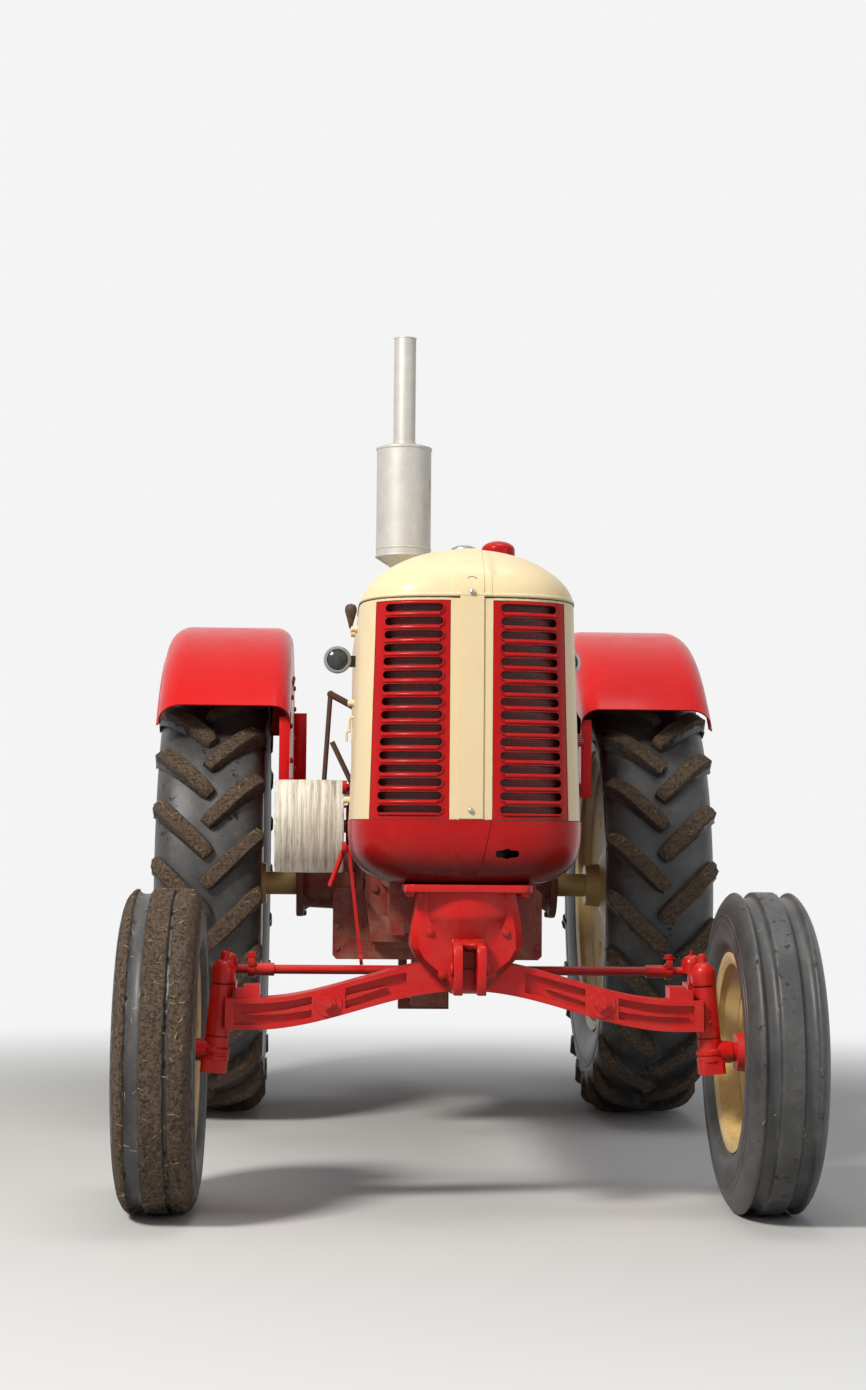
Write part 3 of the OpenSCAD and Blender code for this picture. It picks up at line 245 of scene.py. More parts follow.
class Effects:
    """The shared effects, each one node group built once."""

    def __init__(self) -> None:
        """Starts with no group built."""
        self.groups: dict[str, bpy.types.NodeTree] = {}

    def group(self, name: str, inputs: dict[str, object], outputs: Sequence[str],
              build: Callable[[Wiring, Sockets, Sockets], None]) -> bpy.types.NodeTree:
        """Gives a named group, and builds it the first time.

        Args:
            name: the group's name.
            inputs: the default of each input after the coordinates, a colour or a number.
            outputs: the name of each output.
            build: fills the group between its own inputs and outputs.

        Returns:
            The group's tree.
        """
        if name in self.groups:
            return self.groups[name]
        tree = bpy.data.node_groups.new(name, "ShaderNodeTree")
        tree.interface.new_socket("Vector", in_out="INPUT", socket_type="NodeSocketVector")
        for label, default in inputs.items():
            kind = "NodeSocketColor" if isinstance(default, tuple) else "NodeSocketFloat"
            tree.interface.new_socket(label, in_out="INPUT", socket_type=kind).default_value = default
        for label in outputs:
            kind = {"Color": "NodeSocketColor", "Normal": "NodeSocketVector"}.get(label, "NodeSocketFloat")
            tree.interface.new_socket(label, in_out="OUTPUT", socket_type=kind)
        wiring = Wiring(tree)
        build(wiring, wiring.add("NodeGroupInput").outputs, wiring.add("NodeGroupOutput").inputs)
        self.groups[name] = tree
        return tree

    def sun_fade(self) -> bpy.types.NodeTree:
        """Gives the group that fades paint in slow clouds.

        Returns:
            The group's tree.
        """
        def build(w: Wiring, given: Sockets, out: Sockets) -> None:
            """Mixes the fresh and the faded colour by two noises."""
            slow = w.noise(given["Vector"], given["Scale"], 3.0)
            fine = w.noise(given["Vector"], w.times(given["Scale"], 9.0), 5.0, 0.7)
            cloud = w.plus(w.times(slow, 0.75), w.times(fine, 0.25))
            mask = w.times(w.band(cloud, 0.36, 0.64), given["Amount"], clamp=True)
            w.link(w.mix(mask, given["Fresh"], given["Faded"]), out["Color"])
        return self.group("Sun_Fade", {"Fresh": GREY, "Faded": GREY, "Scale": 3.0, "Amount": 0.5}, ["Color"],
                          build)

    def settled_dust(self) -> bpy.types.NodeTree:
        """Gives the group that lays field dust low down and on upward faces.

        Returns:
            The group's tree.
        """
        def build(w: Wiring, given: Sockets, out: Sockets) -> None:
            """Builds the dust mask from height, slope and noise."""
            place = w.add("ShaderNodeSeparateXYZ", {0: given["Vector"]})
            slope = w.add("ShaderNodeSeparateXYZ", {0: w.add("ShaderNodeNewGeometry").outputs["Normal"]})
            low = w.band(place.outputs["Z"], given["Height"], 0.1)
            flat = w.times(w.band(slope.outputs["Z"], 0.35, 1.0), given["Flats"])
            cloud = w.band(w.noise(given["Vector"], 16.0, 6.0, 0.7), 0.38, 0.72)
            speck = w.band(w.noise(given["Vector"], 240.0, 3.0, 0.7), 0.52, 0.7)
            reach = w.plus(w.plus(w.times(low, 0.5), flat), 0.18)
            mask = w.times(w.times(reach, w.plus(cloud, w.times(speck, 0.7))), given["Amount"], clamp=True)
            w.link(w.mix(mask, given["Color"], given["Dust"]), out["Color"])
            w.link(mask, out["Mask"])
        return self.group("Settled_Dust", {"Color": GREY, "Dust": paint(150, 128, 100), "Amount": 0.5,
                                           "Height": 1.1, "Flats": 0.5}, ["Color", "Mask"], build)

    def under_shade(self) -> bpy.types.NodeTree:
        """Gives the group that paints shade on faces that look down.

        Returns:
            The group's tree.
        """
        def build(w: Wiring, given: Sockets, out: Sockets) -> None:
            """Darkens the colour by the slope, as painted shade."""
            slope = w.add("ShaderNodeSeparateXYZ", {0: w.add("ShaderNodeNewGeometry").outputs["Normal"]})
            mask = w.times(w.band(slope.outputs["Z"], 0.05, -0.6), given["Amount"], clamp=True)
            # painted shade: faces that look down are mixed towards this near-black brown
            dark = w.mix(0.82, given["Color"], paint(24, 12, 10))
            w.link(w.mix(mask, given["Color"], dark), out["Color"])
        return self.group("Under_Shade", {"Color": GREY, "Amount": 0.5}, ["Color"], build)

    def worn_edges(self) -> bpy.types.NodeTree:
        """Gives the group that finds rubbed and chipped edges.

        Returns:
            The group's tree.
        """
        def build(w: Wiring, given: Sockets, out: Sockets) -> None:
            """Compares the rounded normal with the flat one and breaks it up."""
            soft = w.add("ShaderNodeBevel", {"Radius": given["Radius"]}, samples=4)
            flat = w.add("ShaderNodeNewGeometry")
            facing = w.add("ShaderNodeVectorMath", {0: soft.outputs[0], 1: flat.outputs["Normal"]},
                           operation="DOT_PRODUCT")
            edge = w.band(facing.outputs["Value"], 0.985, 0.86)
            patch = w.band(w.noise(given["Vector"], given["Scale"], 6.0, 0.75), 0.50, 0.60)
            w.link(w.times(w.times(edge, patch), given["Amount"], clamp=True), out["Mask"])
        return self.group("Worn_Edges", {"Radius": 0.003, "Scale": 30.0, "Amount": 0.6}, ["Mask"], build)

    def skin(self) -> bpy.types.NodeTree:
        """Gives the group that ripples a surface, from orange peel to sand casting.

        Returns:
            The group's tree.
        """
        def build(w: Wiring, given: Sockets, out: Sockets) -> None:
            """Bumps the normal with a broad and a fine noise."""
            fine = w.noise(given["Vector"], given["Scale"], 3.0, 0.6)
            broad = w.noise(given["Vector"], w.times(given["Scale"], 0.13), 2.0)
            height = w.plus(fine, w.times(broad, given["Broad"]))
            bump = w.add("ShaderNodeBump", {"Height": height, "Strength": 1.0, "Distance": given["Depth"]})
            w.link(bump.outputs["Normal"], out["Normal"])
        return self.group("Surface_Skin", {"Scale": 500.0, "Depth": 0.00005, "Broad": 2.0}, ["Normal"], build)

    def rust_bloom(self) -> bpy.types.NodeTree:
        """Gives the group that stains metal with patches and runs of rust.

        Returns:
            The group's tree.
        """
        def build(w: Wiring, given: Sockets, out: Sockets) -> None:
            """Mixes patches and vertical runs of rust over a colour."""
            patch = w.noise(given["Vector"], given["Scale"], 8.0, 0.72)
            runs = w.noise(w.stretch(given["Vector"], (70.0, 70.0, 4.0)), 1.0, 4.0, 0.6)
            both = w.plus(w.times(patch, 0.62), w.times(runs, 0.38))
            low = w.math("SUBTRACT", 0.74, w.times(given["Amount"], 0.34))
            mask = w.band(both, low, w.plus(low, 0.09))
            tint = w.mix(w.noise(given["Vector"], 90.0, 5.0), given["Rust"], given["Dark"])
            w.link(w.mix(mask, given["Color"], tint), out["Color"])
            w.link(mask, out["Mask"])
        return self.group("Rust_Bloom", {"Color": GREY, "Rust": GREY, "Dark": GREY, "Scale": 12.0,
                                         "Amount": 0.4}, ["Color", "Mask"], build)

    def dried_mud(self) -> bpy.types.NodeTree:
        """Gives the group that cakes soil where the mesh's own mud values are high.

        Returns:
            The group's tree.
        """
        def build(w: Wiring, given: Sockets, out: Sockets) -> None:
            """Builds the colour with painted shade in the pits, the mask and the height of the soil."""
            level = w.add("ShaderNodeAttribute", attribute_name="mud").outputs["Fac"]
            ragged = w.noise(given["Vector"], 55.0, 8.0, 0.75)
            mask = w.band(w.plus(level, w.times(w.math("SUBTRACT", ragged, 0.5), 1.1)), 0.42, 0.58)
            crumb = w.noise(given["Vector"], 150.0, 6.0, 0.75)
            cracks = w.noise(w.stretch(given["Vector"], (18.0, 150.0, 150.0)), 1.0, 5.0, 0.7)
            # partly painted shade: the fine crumb and crack noise mixes towards the darker damp colour, which
            # stands both for damp soil and for shade between crumbs
            tint = w.mix(w.band(w.plus(w.times(crumb, 0.5), w.times(cracks, 0.5)),
                                0.36, 0.62), given["Damp_And_Shade"], given["Dry"])
            # painted shadow: the pits are darkened towards a near-black brown, as shade in the mud's hollows;
            # the pits also roughen the height
            pits = w.band(w.noise(given["Vector"], 125.0, 6.0, 0.8), 0.35, 0.47)
            pit_shadowed = w.mix(w.band(pits, 0.0, 1.0, 0.66, 1.0), paint(34, 27, 21), tint)
            w.link(w.mix(mask, given["Color"], pit_shadowed), out["Color"])
            w.link(mask, out["Mask"])
            lumps = w.plus(w.times(crumb, 0.6), w.times(cracks, 0.5))
            rough = w.plus(lumps, w.times(pits, 0.7))
            w.link(w.times(mask, w.plus(rough, 0.2)), out["Height"])
        return self.group("Dried_Mud", {"Color": GREY, "Dry": paint(112, 93, 75), "Damp_And_Shade": paint(66, 53, 43)},
                          ["Color", "Mask", "Height"], build)


EFFECTS = Effects()


# Finishes


class Coat:
    """Starts a material with its Principled shader and its own coordinates."""

    def __init__(self, name: str, **shader: float) -> None:
        """Makes the material, with plain values on the shader's own sockets.

        Args:
            name: the material's name.
            shader: values by the name of the socket, with underscores for spaces.
        """
        self.material = bpy.data.materials.new(name)
        self.material.use_nodes = True
        self.wiring = Wiring(self.material.node_tree)
        self.shader = self.material.node_tree.nodes["Principled BSDF"]
        for key, value in shader.items():
            self.shader.inputs[key.replace("_", " ")].default_value = value
        self.place = self.wiring.add("ShaderNodeTexCoord").outputs["Object"]

    def effect(self, tree: bpy.types.NodeTree, **values: object) -> bpy.types.Node:
        """Places one shared effect, fed with the material's coordinates.

        Args:
            tree: the effect's group.
            values: values or sockets for its inputs.

        Returns:
            The group's node.
        """
        node = self.wiring.add("ShaderNodeGroup", node_tree=tree)
        for key, value in {"Vector": self.place, **values}.items():
            self.wiring.link(value, node.inputs[key])
        return node

    def feed(self, socket: str, value: Socket) -> None:
        """Links a value to the shader."""
        self.wiring.link(value, self.shader.inputs[socket])


@dataclass(frozen=True)
class Enamel:
    """Brushed or sprayed enamel over iron or sheet metal."""

    name: str
    fresh: Colour
    faded: Colour
    slot: str
    fade: float = 0.5
    gloss: float = 0.22
    coat: float = 0.5
    shine: float = 0.35
    shade: float = 0.5
    dust: float = 0.45
    flats: float = 0.5
    chips: float = 0.5
    depth: float = 0.00004
    scale: float = 420.0
    under: Colour = paint(92, 58, 44)

    def make(self) -> bpy.types.Material:
        """Gives the enamel's material.

        Returns:
            The new material.
        """
        coat = Coat(self.name, Coat_Weight=self.coat, Coat_Roughness=0.1, Specular_IOR_Level=self.shine)
        w = coat.wiring
        fade = coat.effect(EFFECTS.sun_fade(), Fresh=self.fresh, Faded=self.faded, Scale=3.4,
                           Amount=self.fade)
        worn = coat.effect(EFFECTS.worn_edges(), Radius=0.004, Scale=34.0, Amount=self.chips)
        bare = w.mix(worn.outputs["Mask"], fade.outputs["Color"], self.under)
        # painted shade: faces that look down are darkened here, by the shade amount
        under = coat.effect(EFFECTS.under_shade(), Color=bare, Amount=self.shade)
        dust = coat.effect(EFFECTS.settled_dust(), Color=under.outputs["Color"], Amount=self.dust,
                           Flats=self.flats)
        coat.feed("Base Color", dust.outputs["Color"])
        rough = w.plus(self.gloss, w.times(dust.outputs["Mask"], 0.5))
        rough = w.plus(rough, w.times(worn.outputs["Mask"], 0.4), clamp=True)
        smear = w.noise(coat.place, 9.0, 4.0, 0.6)
        coat.feed("Roughness", w.plus(rough, w.band(smear, 0.45, 0.75, 0.0, 0.12)))
        skin = coat.effect(EFFECTS.skin(), Scale=self.scale, Depth=self.depth, Broad=3.0)
        coat.feed("Normal", skin.outputs["Normal"])
        return coat.material


@dataclass(frozen=True)
class Rubber:
    """Weathered tyre rubber that carries dried mud."""

    name: str
    slot: str = "tyre_rubber"
    dark: Colour = paint(50, 50, 51)
    grey: Colour = paint(84, 84, 84)

    def make(self) -> bpy.types.Material:
        """Gives the rubber's material.

        Returns:
            The new material.
        """
        coat = Coat(self.name, Specular_IOR_Level=0.45)
        w = coat.wiring
        fade = coat.effect(EFFECTS.sun_fade(), Fresh=self.dark, Faded=self.grey, Scale=7.0, Amount=0.8)
        film = w.band(w.noise(coat.place, 30.0, 8.0, 0.8), 0.5, 0.8, 0.0, 0.4)
        filmed = w.mix(film, fade.outputs["Color"], paint(124, 112, 96))
        mud = coat.effect(EFFECTS.dried_mud(), Color=filmed)
        coat.feed("Base Color", mud.outputs["Color"])
        coat.feed("Roughness", w.band(mud.outputs["Mask"], 0.0, 1.0, 0.42, 0.95))
        grain = w.noise(coat.place, 700.0, 2.0)
        height = w.plus(w.times(mud.outputs["Height"], 1.0), w.times(grain, 0.04))
        bump = w.add("ShaderNodeBump", {"Height": height, "Strength": 1.0, "Distance": 0.007})
        coat.feed("Normal", bump.outputs["Normal"])
        return coat.material


@dataclass(frozen=True)
class Metal:
    """Bare or aluminium-painted metal with rust on it."""

    name: str
    colour: Colour
    slot: str = "bare_steel"
    metallic: float = 0.8
    rough: float = 0.42
    rust: float = 0.4
    rust_scale: float = 12.0
    depth: float = 0.0001
    bright: Colour = paint(150, 92, 56)
    dark: Colour = paint(76, 50, 38)

    def make(self) -> bpy.types.Material:
        """Gives the metal's material.

        Returns:
            The new material.
        """
        coat = Coat(self.name)
        w = coat.wiring
        cloud = w.band(w.noise(coat.place, 22.0, 5.0, 0.7), 0.35, 0.7, 0.0, 0.35)
        dull = w.mix(cloud, self.colour, tuple(0.6 * part for part in self.colour[:3]) + (1.0,))
        rust = coat.effect(EFFECTS.rust_bloom(), Color=dull, Rust=self.bright, Dark=self.dark,
                           Scale=self.rust_scale, Amount=self.rust)
        coat.feed("Base Color", rust.outputs["Color"])
        coat.feed("Metallic", w.band(rust.outputs["Mask"], 0.0, 1.0, self.metallic, 0.0))
        coat.feed("Roughness", w.band(rust.outputs["Mask"], 0.0, 1.0, self.rough, 0.85))
        skin = coat.effect(EFFECTS.skin(), Scale=260.0, Depth=self.depth, Broad=2.0)
        coat.feed("Normal", skin.outputs["Normal"])
        return coat.material


@dataclass(frozen=True)
class PulleyFace:
    """The belt pulley's off-white paint, rubbed in bands by its belt."""

    name: str = "Pulley_Face"
    slot: str = "pulley_paint"

    def make(self) -> bpy.types.Material:
        """Gives the pulley's material.

        Returns:
            The new material.
        """
        coat = Coat(self.name)
        w = coat.wiring
        bands = w.noise(w.stretch(coat.place, (85.0, 3.0, 3.0)), 1.0, 6.0, 0.7)
        fine = w.noise(w.stretch(coat.place, (420.0, 9.0, 9.0)), 1.0, 4.0, 0.7)
        both = w.plus(w.times(bands, 0.6), w.times(fine, 0.4))
        base = w.mix(w.band(both, 0.38, 0.55), paint(150, 134, 110), paint(236, 230, 214))
        short = w.noise(w.stretch(coat.place, (170.0, 22.0, 22.0)), 1.0, 6.0, 0.75)
        stain = w.mix(w.band(short, 0.56, 0.70, 0.0, 0.7), base, paint(128, 108, 84))
        worn = coat.effect(EFFECTS.worn_edges(), Radius=0.014, Scale=24.0, Amount=1.6)
        edged = w.mix(w.times(worn.outputs["Mask"], 0.85), stain, paint(92, 72, 54))
        dust = coat.effect(EFFECTS.settled_dust(), Color=edged, Amount=0.3, Flats=0.1)
        coat.feed("Base Color", dust.outputs["Color"])
        coat.feed("Roughness", w.band(both, 0.3, 0.7, 0.42, 0.68))
        skin = coat.effect(EFFECTS.skin(), Scale=300.0, Depth=0.0001, Broad=2.0)
        coat.feed("Normal", skin.outputs["Normal"])
        return coat.material


@dataclass(frozen=True)
class WireScreen:
    """Perforated screen behind the grille slots."""

    name: str = "Grille_Mesh"
    slot: str = "black_enamel"
    pitch: float = 0.0052

    def make(self) -> bpy.types.Material:
        """Gives the screen's material.

        Returns:
            The new material.
        """
        coat = Coat(self.name, Roughness=0.55)
        w = coat.wiring
        place = w.add("ShaderNodeSeparateXYZ", {0: w.stretch(coat.place, [pi / self.pitch] * 3)})
        holes = w.times(w.math("SINE", place.outputs["X"]), w.math("SINE", place.outputs["Z"]))
        mask = w.band(w.math("ABSOLUTE", holes), 0.16, 0.44)
        wire = w.mix(w.noise(coat.place, 40.0, 5.0, 0.7), paint(168, 66, 62), paint(112, 52, 46))
        dirty = w.mix(w.band(w.noise(coat.place, 18.0, 6.0, 0.7), 0.5, 0.72, 0.0, 0.5), wire,
                      paint(120, 104, 88))
        # painted shade: the holes are near-black, standing for the shade seen through them
        coat.feed("Base Color", w.mix(mask, dirty, paint(8, 4, 5)))
        bump = w.add("ShaderNodeBump", {"Height": w.math("SUBTRACT", 1.0, mask), "Strength": 0.6,
                                        "Distance": 0.001})
        coat.feed("Normal", bump.outputs["Normal"])
        return coat.material


@dataclass(frozen=True)
class Plain:
    """Small trim in plastic, straw, glass or a dial's card."""

    name: str
    colour: Colour
    other: Colour
    slot: str
    rough: float = 0.4
    scale: float = 60.0
    metallic: float = 0.0
    clear: float = 0.0

    def make(self) -> bpy.types.Material:
        """Gives the trim's material.

        Returns:
            The new material.
        """
        coat = Coat(self.name, Metallic=self.metallic, Transmission_Weight=self.clear, IOR=1.45)
        w = coat.wiring
        mask = w.noise(coat.place, self.scale, 5.0, 0.6)
        coat.feed("Base Color", w.mix(w.band(mask, 0.35, 0.65), self.colour, self.other))
        coat.feed("Roughness", w.band(mask, 0.3, 0.7, self.rough, min(1.0, self.rough + 0.12)))
        return coat.material


Finish = Enamel | Rubber | Metal | PulleyFace | WireScreen | Plain

RED = Enamel("Red_Enamel", paint(180, 8, 13), paint(192, 18, 20), "red_enamel", fade=0.45, gloss=0.26,
             coat=0.08, shine=0.14, shade=1.0, dust=0.14, flats=0.2, chips=0.35)
RED_CAST = Enamel("Red_Castings", paint(200, 12, 18), paint(214, 30, 30), "red_enamel", fade=0.6, gloss=0.3,
                  coat=0.1, shine=0.22, shade=0.9, dust=0.26, flats=0.3, chips=0.7, depth=0.00022,
                  scale=210.0)
RED_LOW = Enamel("Red_Undercarriage", paint(122, 14, 16), paint(132, 34, 28), "red_enamel", fade=0.8,
                 gloss=0.42, coat=0.1, dust=1.1, flats=0.6, chips=0.9, depth=0.0003, scale=190.0)
RED_SHEET = Enamel("Red_Fender_Gloss", paint(208, 10, 14), paint(217, 20, 22), "red_enamel", fade=0.35,
                   gloss=0.26, coat=0.12, shine=0.14, dust=0.08, flats=0.08, chips=0.2, depth=0.00002,
                   scale=300.0)
CREAM = Enamel("Cream_Enamel", paint(234, 213, 171), paint(229, 203, 157), "cream_enamel", fade=0.5,
               gloss=0.36, coat=0.12, shine=0.22, dust=0.22, flats=0.12, chips=0.4,
               under=paint(150, 118, 84))
CREAM_WHEEL = Enamel("Cream_Wheel_Paint", paint(226, 196, 128), paint(206, 172, 110), "cream_enamel",
                     fade=0.7, gloss=0.4, coat=0.2, dust=0.55, flats=0.0, chips=0.8,
                     under=paint(120, 78, 52))
TYRE = Rubber("Tyre_Rubber")
ALUMINIUM = Metal("Aluminium_Paint", paint(198, 195, 189), "aluminium_paint", metallic=0.35, rough=0.5,
                  rust=0.42, rust_scale=9.0, bright=paint(168, 120, 84), dark=paint(126, 96, 76))
STEEL = Metal("Bright_Steel", paint(168, 168, 166), metallic=0.95, rough=0.3, rust=0.22)
IRON = Metal("Rusty_Iron", paint(72, 56, 48), slot="rusty_iron", metallic=0.3, rough=0.65, rust=1.15,
             rust_scale=26.0, bright=paint(96, 62, 44), dark=paint(52, 38, 32))
BLACK = Enamel("Black_Enamel", paint(28, 28, 30), paint(44, 43, 42), "black_enamel", fade=0.6, gloss=0.34,
               coat=0.3, dust=0.5, flats=0.4, chips=0.5, under=paint(90, 70, 58))
RUBBER_TRIM = Plain("Rubber_Trim", paint(30, 28, 27), paint(52, 46, 42), "tyre_rubber", rough=0.7,
                    scale=120.0)
STRAW = Plain("Straw_Bits", paint(198, 172, 112), paint(150, 122, 76), "tyre_rubber", rough=0.8, scale=40.0)
GLASS = Plain("Lamp_Glass", paint(96, 100, 102), paint(70, 74, 78), "bare_steel", rough=0.08, clear=0.6)
DIAL = Plain("Dial_Card", paint(232, 228, 214), paint(218, 210, 190), "cream_enamel", rough=0.5)
LEATHER = Plain("Control_Leather", paint(92, 66, 44), paint(58, 42, 30), "rusty_iron", rough=0.55, scale=90.0)


class Paints:
    """Hands out each finish's material, made once."""

    def __init__(self) -> None:
        """Starts with no material made."""
        self.made: dict[str, bpy.types.Material] = {}

    def of(self, finish: Finish) -> bpy.types.Material:
        """Gives a finish's material.

        Args:
            finish: the finish.

        Returns:
            Its material.
        """
        if finish.name not in self.made:
            self.made[finish.name] = finish.make()
        return self.made[finish.name]


PAINTS = Paints()


# Workbench


class Bench:
    """One mesh in the making, shaped with bmesh operators."""

    def __init__(self) -> None:
        """Starts an empty mesh with a mud value and a paint number per part."""
        self.bm = bmesh.new()
        self.mud = self.bm.verts.layers.float.new("mud")

    def turned(self, profile: Sequence[Pair], centre: Point, axis: Axis = Axis.X, steps: int = 64,
               paint_index: int = 0, mud: Sequence[float] = ()) -> Verts:
        """Spins a profile into a turned part.

        Args:
            profile: pairs of radius and place along the axis.
            centre: the point that the profile's zero stands on.
            axis: the axis of the turn.
            steps: how many steps make the full turn.
            paint_index: the material's number.
            mud: a mud value for each pair of the profile.

        Returns:
            The part's vertices.
        """
        turn = Matrix.Translation(Vector(centre)) @ axis.turn()
        verts = []
        for index, (radius, along) in enumerate(profile):
            vert = self.bm.verts.new(turn @ Vector((radius, 0, along)))
            vert[self.mud] = mud[index] if mud else 0.0
            verts.append(vert)
        edges = [self.bm.edges.new(pair) for pair in zip(verts[:-1], verts[1:])]
        bmesh.ops.spin(self.bm, geom=verts + edges, cent=Vector(centre), axis=axis.vector(),
                       angle=FULL_TURN, steps=steps, use_merge=True)
        return self.mark(verts, paint_index)

    def mark(self, seeds: Verts, paint_index: int) -> Verts:
        """Gives every face linked to the seeds its material's number.

        Args:
            seeds: vertices of one part.
            paint_index: the material's number.

        Returns:
            All the part's vertices.
        """
        found, queue = set(seeds), list(seeds)
        while queue:
            for edge in queue.pop().link_edges:
                for vert in edge.verts:
                    if vert not in found:
                        found.add(vert)
                        queue.append(vert)
        for vert in found:
            for face in vert.link_faces:
                face.material_index = paint_index
        return list(found)

    def block(self, low: Point, high: Point, bevel: float = 0.0, paint_index: int = 0,
              turn: Matrix | None = None, segments: int = 2) -> Verts:
        """Makes a bevelled block between two corners.

        Args:
            low: the lowest corner.
            high: the highest corner.
            bevel: the width of its rounded edges.
            paint_index: the material's number.
            turn: a transform for the finished block.
            segments: how many steps round an edge.

        Returns:
            The block's vertices.
        """
        size = [b - a for a, b in zip(low, high)]
        middle = [(a + b) / 2 for a, b in zip(low, high)]
        place = Matrix.Translation(middle) @ Matrix.Diagonal((*size, 1))
        made = bmesh.ops.create_cube(self.bm, size=1.0, matrix=place)
        verts = made["verts"]
        if bevel:
            edges = list({edge for vert in verts for edge in vert.link_edges})
            done = bmesh.ops.bevel(self.bm, geom=edges, offset=min(bevel, min(size) * 0.45),
                                   segments=segments, affect="EDGES", profile=0.5, material=-1)
            verts = list({v for face in done["faces"] for v in face.verts})
        verts = self.mark(verts, paint_index)
        if turn:
            bmesh.ops.transform(self.bm, matrix=turn, verts=verts)
        return verts

    def rod(self, start: Point, end: Point, radius: float, tip: float | None = None,
            sides: int = 20, paint_index: int = 0, bevel: float = 0.0) -> Verts:
        """Makes a round or six-sided rod between two points.

        Args:
            start: one end's centre.
            end: the other end's centre.
            radius: the radius at the start.
            tip: the radius at the end, when it differs.
            sides: how many sides it has.
            paint_index: the material's number.
            bevel: the width of its rounded rims.

        Returns:
            The rod's vertices.
        """
        first, last = Vector(start), Vector(end)
        way = last - first
        turn = Matrix.Translation((first + last) / 2) @ way.to_track_quat("Z", "Y").to_matrix().to_4x4()
        made = bmesh.ops.create_cone(self.bm, cap_ends=True, segments=sides, radius1=radius,
                                     radius2=radius if tip is None else tip, depth=way.length, matrix=turn)
        verts = made["verts"]
        if bevel:
            rims = [e for e in {e for v in verts for e in v.link_edges}
                    if abs((e.verts[0].co - e.verts[1].co).dot(way)) < 1e-6 * way.length]
            done = bmesh.ops.bevel(self.bm, geom=rims, offset=bevel, segments=2, affect="EDGES", profile=0.5,
                                   material=-1)
            verts = list({v for face in done["faces"] for v in face.verts})
        return self.mark(verts, paint_index)

    def swept(self, path: Sequence[Point], radius: float, sides: int = 14, paint_index: int = 0) -> Verts:
        """Draws a ring along a path into a bent bar or pipe.

        Args:
            path: the points that its centre passes.
            radius: its radius.
            sides: how many sides it has.
            paint_index: the material's number.

        Returns:
            The bar's vertices.
        """
        points = [Vector(point) for point in path]
        normal = (points[1] - points[0]).orthogonal().normalized()
        rings = []
        for index, point in enumerate(points):
            ahead = points[min(index + 1, len(points) - 1)] - points[max(index - 1, 0)]
            ahead.normalize()
            normal = (normal - ahead * normal.dot(ahead)).normalized()
            across = ahead.cross(normal)
            turn = Matrix((normal, across, ahead)).transposed().to_4x4()
            turn.translation = point
            made = bmesh.ops.create_circle(self.bm, cap_ends=False, segments=sides, radius=radius,
                                           matrix=turn)
            rings.append(made["verts"])
        self.skin(rings)
        self.cap(rings)
        return self.mark(rings[0], paint_index)

    def skin(self, rings: list[Verts]) -> None:
        """Bridges rings of vertices that are already joined by edges.

        Args:
            rings: the rings in order, each with as many vertices.
        """
        for first, second in zip(rings[:-1], rings[1:]):
            bmesh.ops.bridge_loops(self.bm, edges=edges_within(first) + edges_within(second))

    def cap(self, rings: list[Verts]) -> None:
        """Closes the first and the last ring of a skin."""
        for ring in (rings[0], rings[-1]):
            bmesh.ops.contextual_create(self.bm, geom=edges_within(ring))

    def solid(self, rings: list[Verts]) -> Verts:
        """Bridges closed rings into a solid with flat ends.

        Args:
            rings: the rings in order, each with as many vertices.

        Returns:
            The solid's vertices.
        """
        self.skin(rings)
        for ring in (rings[0], rings[-1]):
            self.bm.faces.new(ring)
        return self.mark(rings[0], 0)

    def sector(self, profile: Sequence[Pair], centre: Point, axis: Axis, start: float, end: float,
               steps: int = 32) -> Verts:
        """Turns a closed profile through part of a turn, with flat ends.

        Args:
            profile: pairs of radius and place along the axis, round the whole section.
            centre: the point that the profile's zero stands on.
            axis: the axis of the turn.
            start: the first angle in degrees.
            end: the last angle in degrees.
            steps: how many steps make the sweep.

        Returns:
            The part's vertices.
        """
        rings = []
        for step in range(steps + 1):
            angle = radians(start + (end - start) * step / steps)
            turn = Matrix.Translation(Vector(centre)) @ Matrix.Rotation(angle, 4, axis.vector()) @ axis.turn()
            rings.append(self.ring([turn @ Vector((radius, 0, along)) for radius, along in profile]))
        return self.solid(rings)

    def ring(self, points: Sequence[Point], closed: bool = True) -> Verts:
        """Starts a ring or line of vertices with its edges.

        Args:
            points: the places of the vertices.
            closed: whether the last joins the first.

        Returns:
            The vertices in order.
        """
        verts = [self.bm.verts.new(point) for point in points]
        for first, second in zip(verts, verts[1:] + (verts[:1] if closed else [])):
            self.bm.edges.new((first, second))
        return verts

    def plate(self, outline: Sequence[Point], thickness: Point, bevel: float = 0.0,
              paint_index: int = 0) -> Verts:
        """Raises a flat outline into a plate.

        Args:
            outline: the points of one face.
            thickness: the way and length that it is raised.
            bevel: the width of its rounded edges.
            paint_index: the material's number.

        Returns:
            The plate's vertices.
        """
        face = self.bm.faces.new([self.bm.verts.new(point) for point in outline])
        done = bmesh.ops.extrude_face_region(self.bm, geom=[face])
        top = [item for item in done["geom"] if isinstance(item, bmesh.types.BMVert)]
        bmesh.ops.translate(self.bm, verts=top, vec=Vector(thickness))
        verts = self.mark(top, paint_index)
        if bevel:
            faces = {f for v in verts for f in v.link_faces}
            sharp = [e for e in {e for f in faces for e in f.edges} if len(e.link_faces) == 2
                     and e.calc_face_angle(0.0) > 0.6]
            done = bmesh.ops.bevel(self.bm, geom=sharp, offset=bevel, segments=2, affect="EDGES", profile=0.5,
                                   material=-1)
            verts = self.mark(list({v for f in done["faces"] for v in f.verts}), paint_index)
        return verts

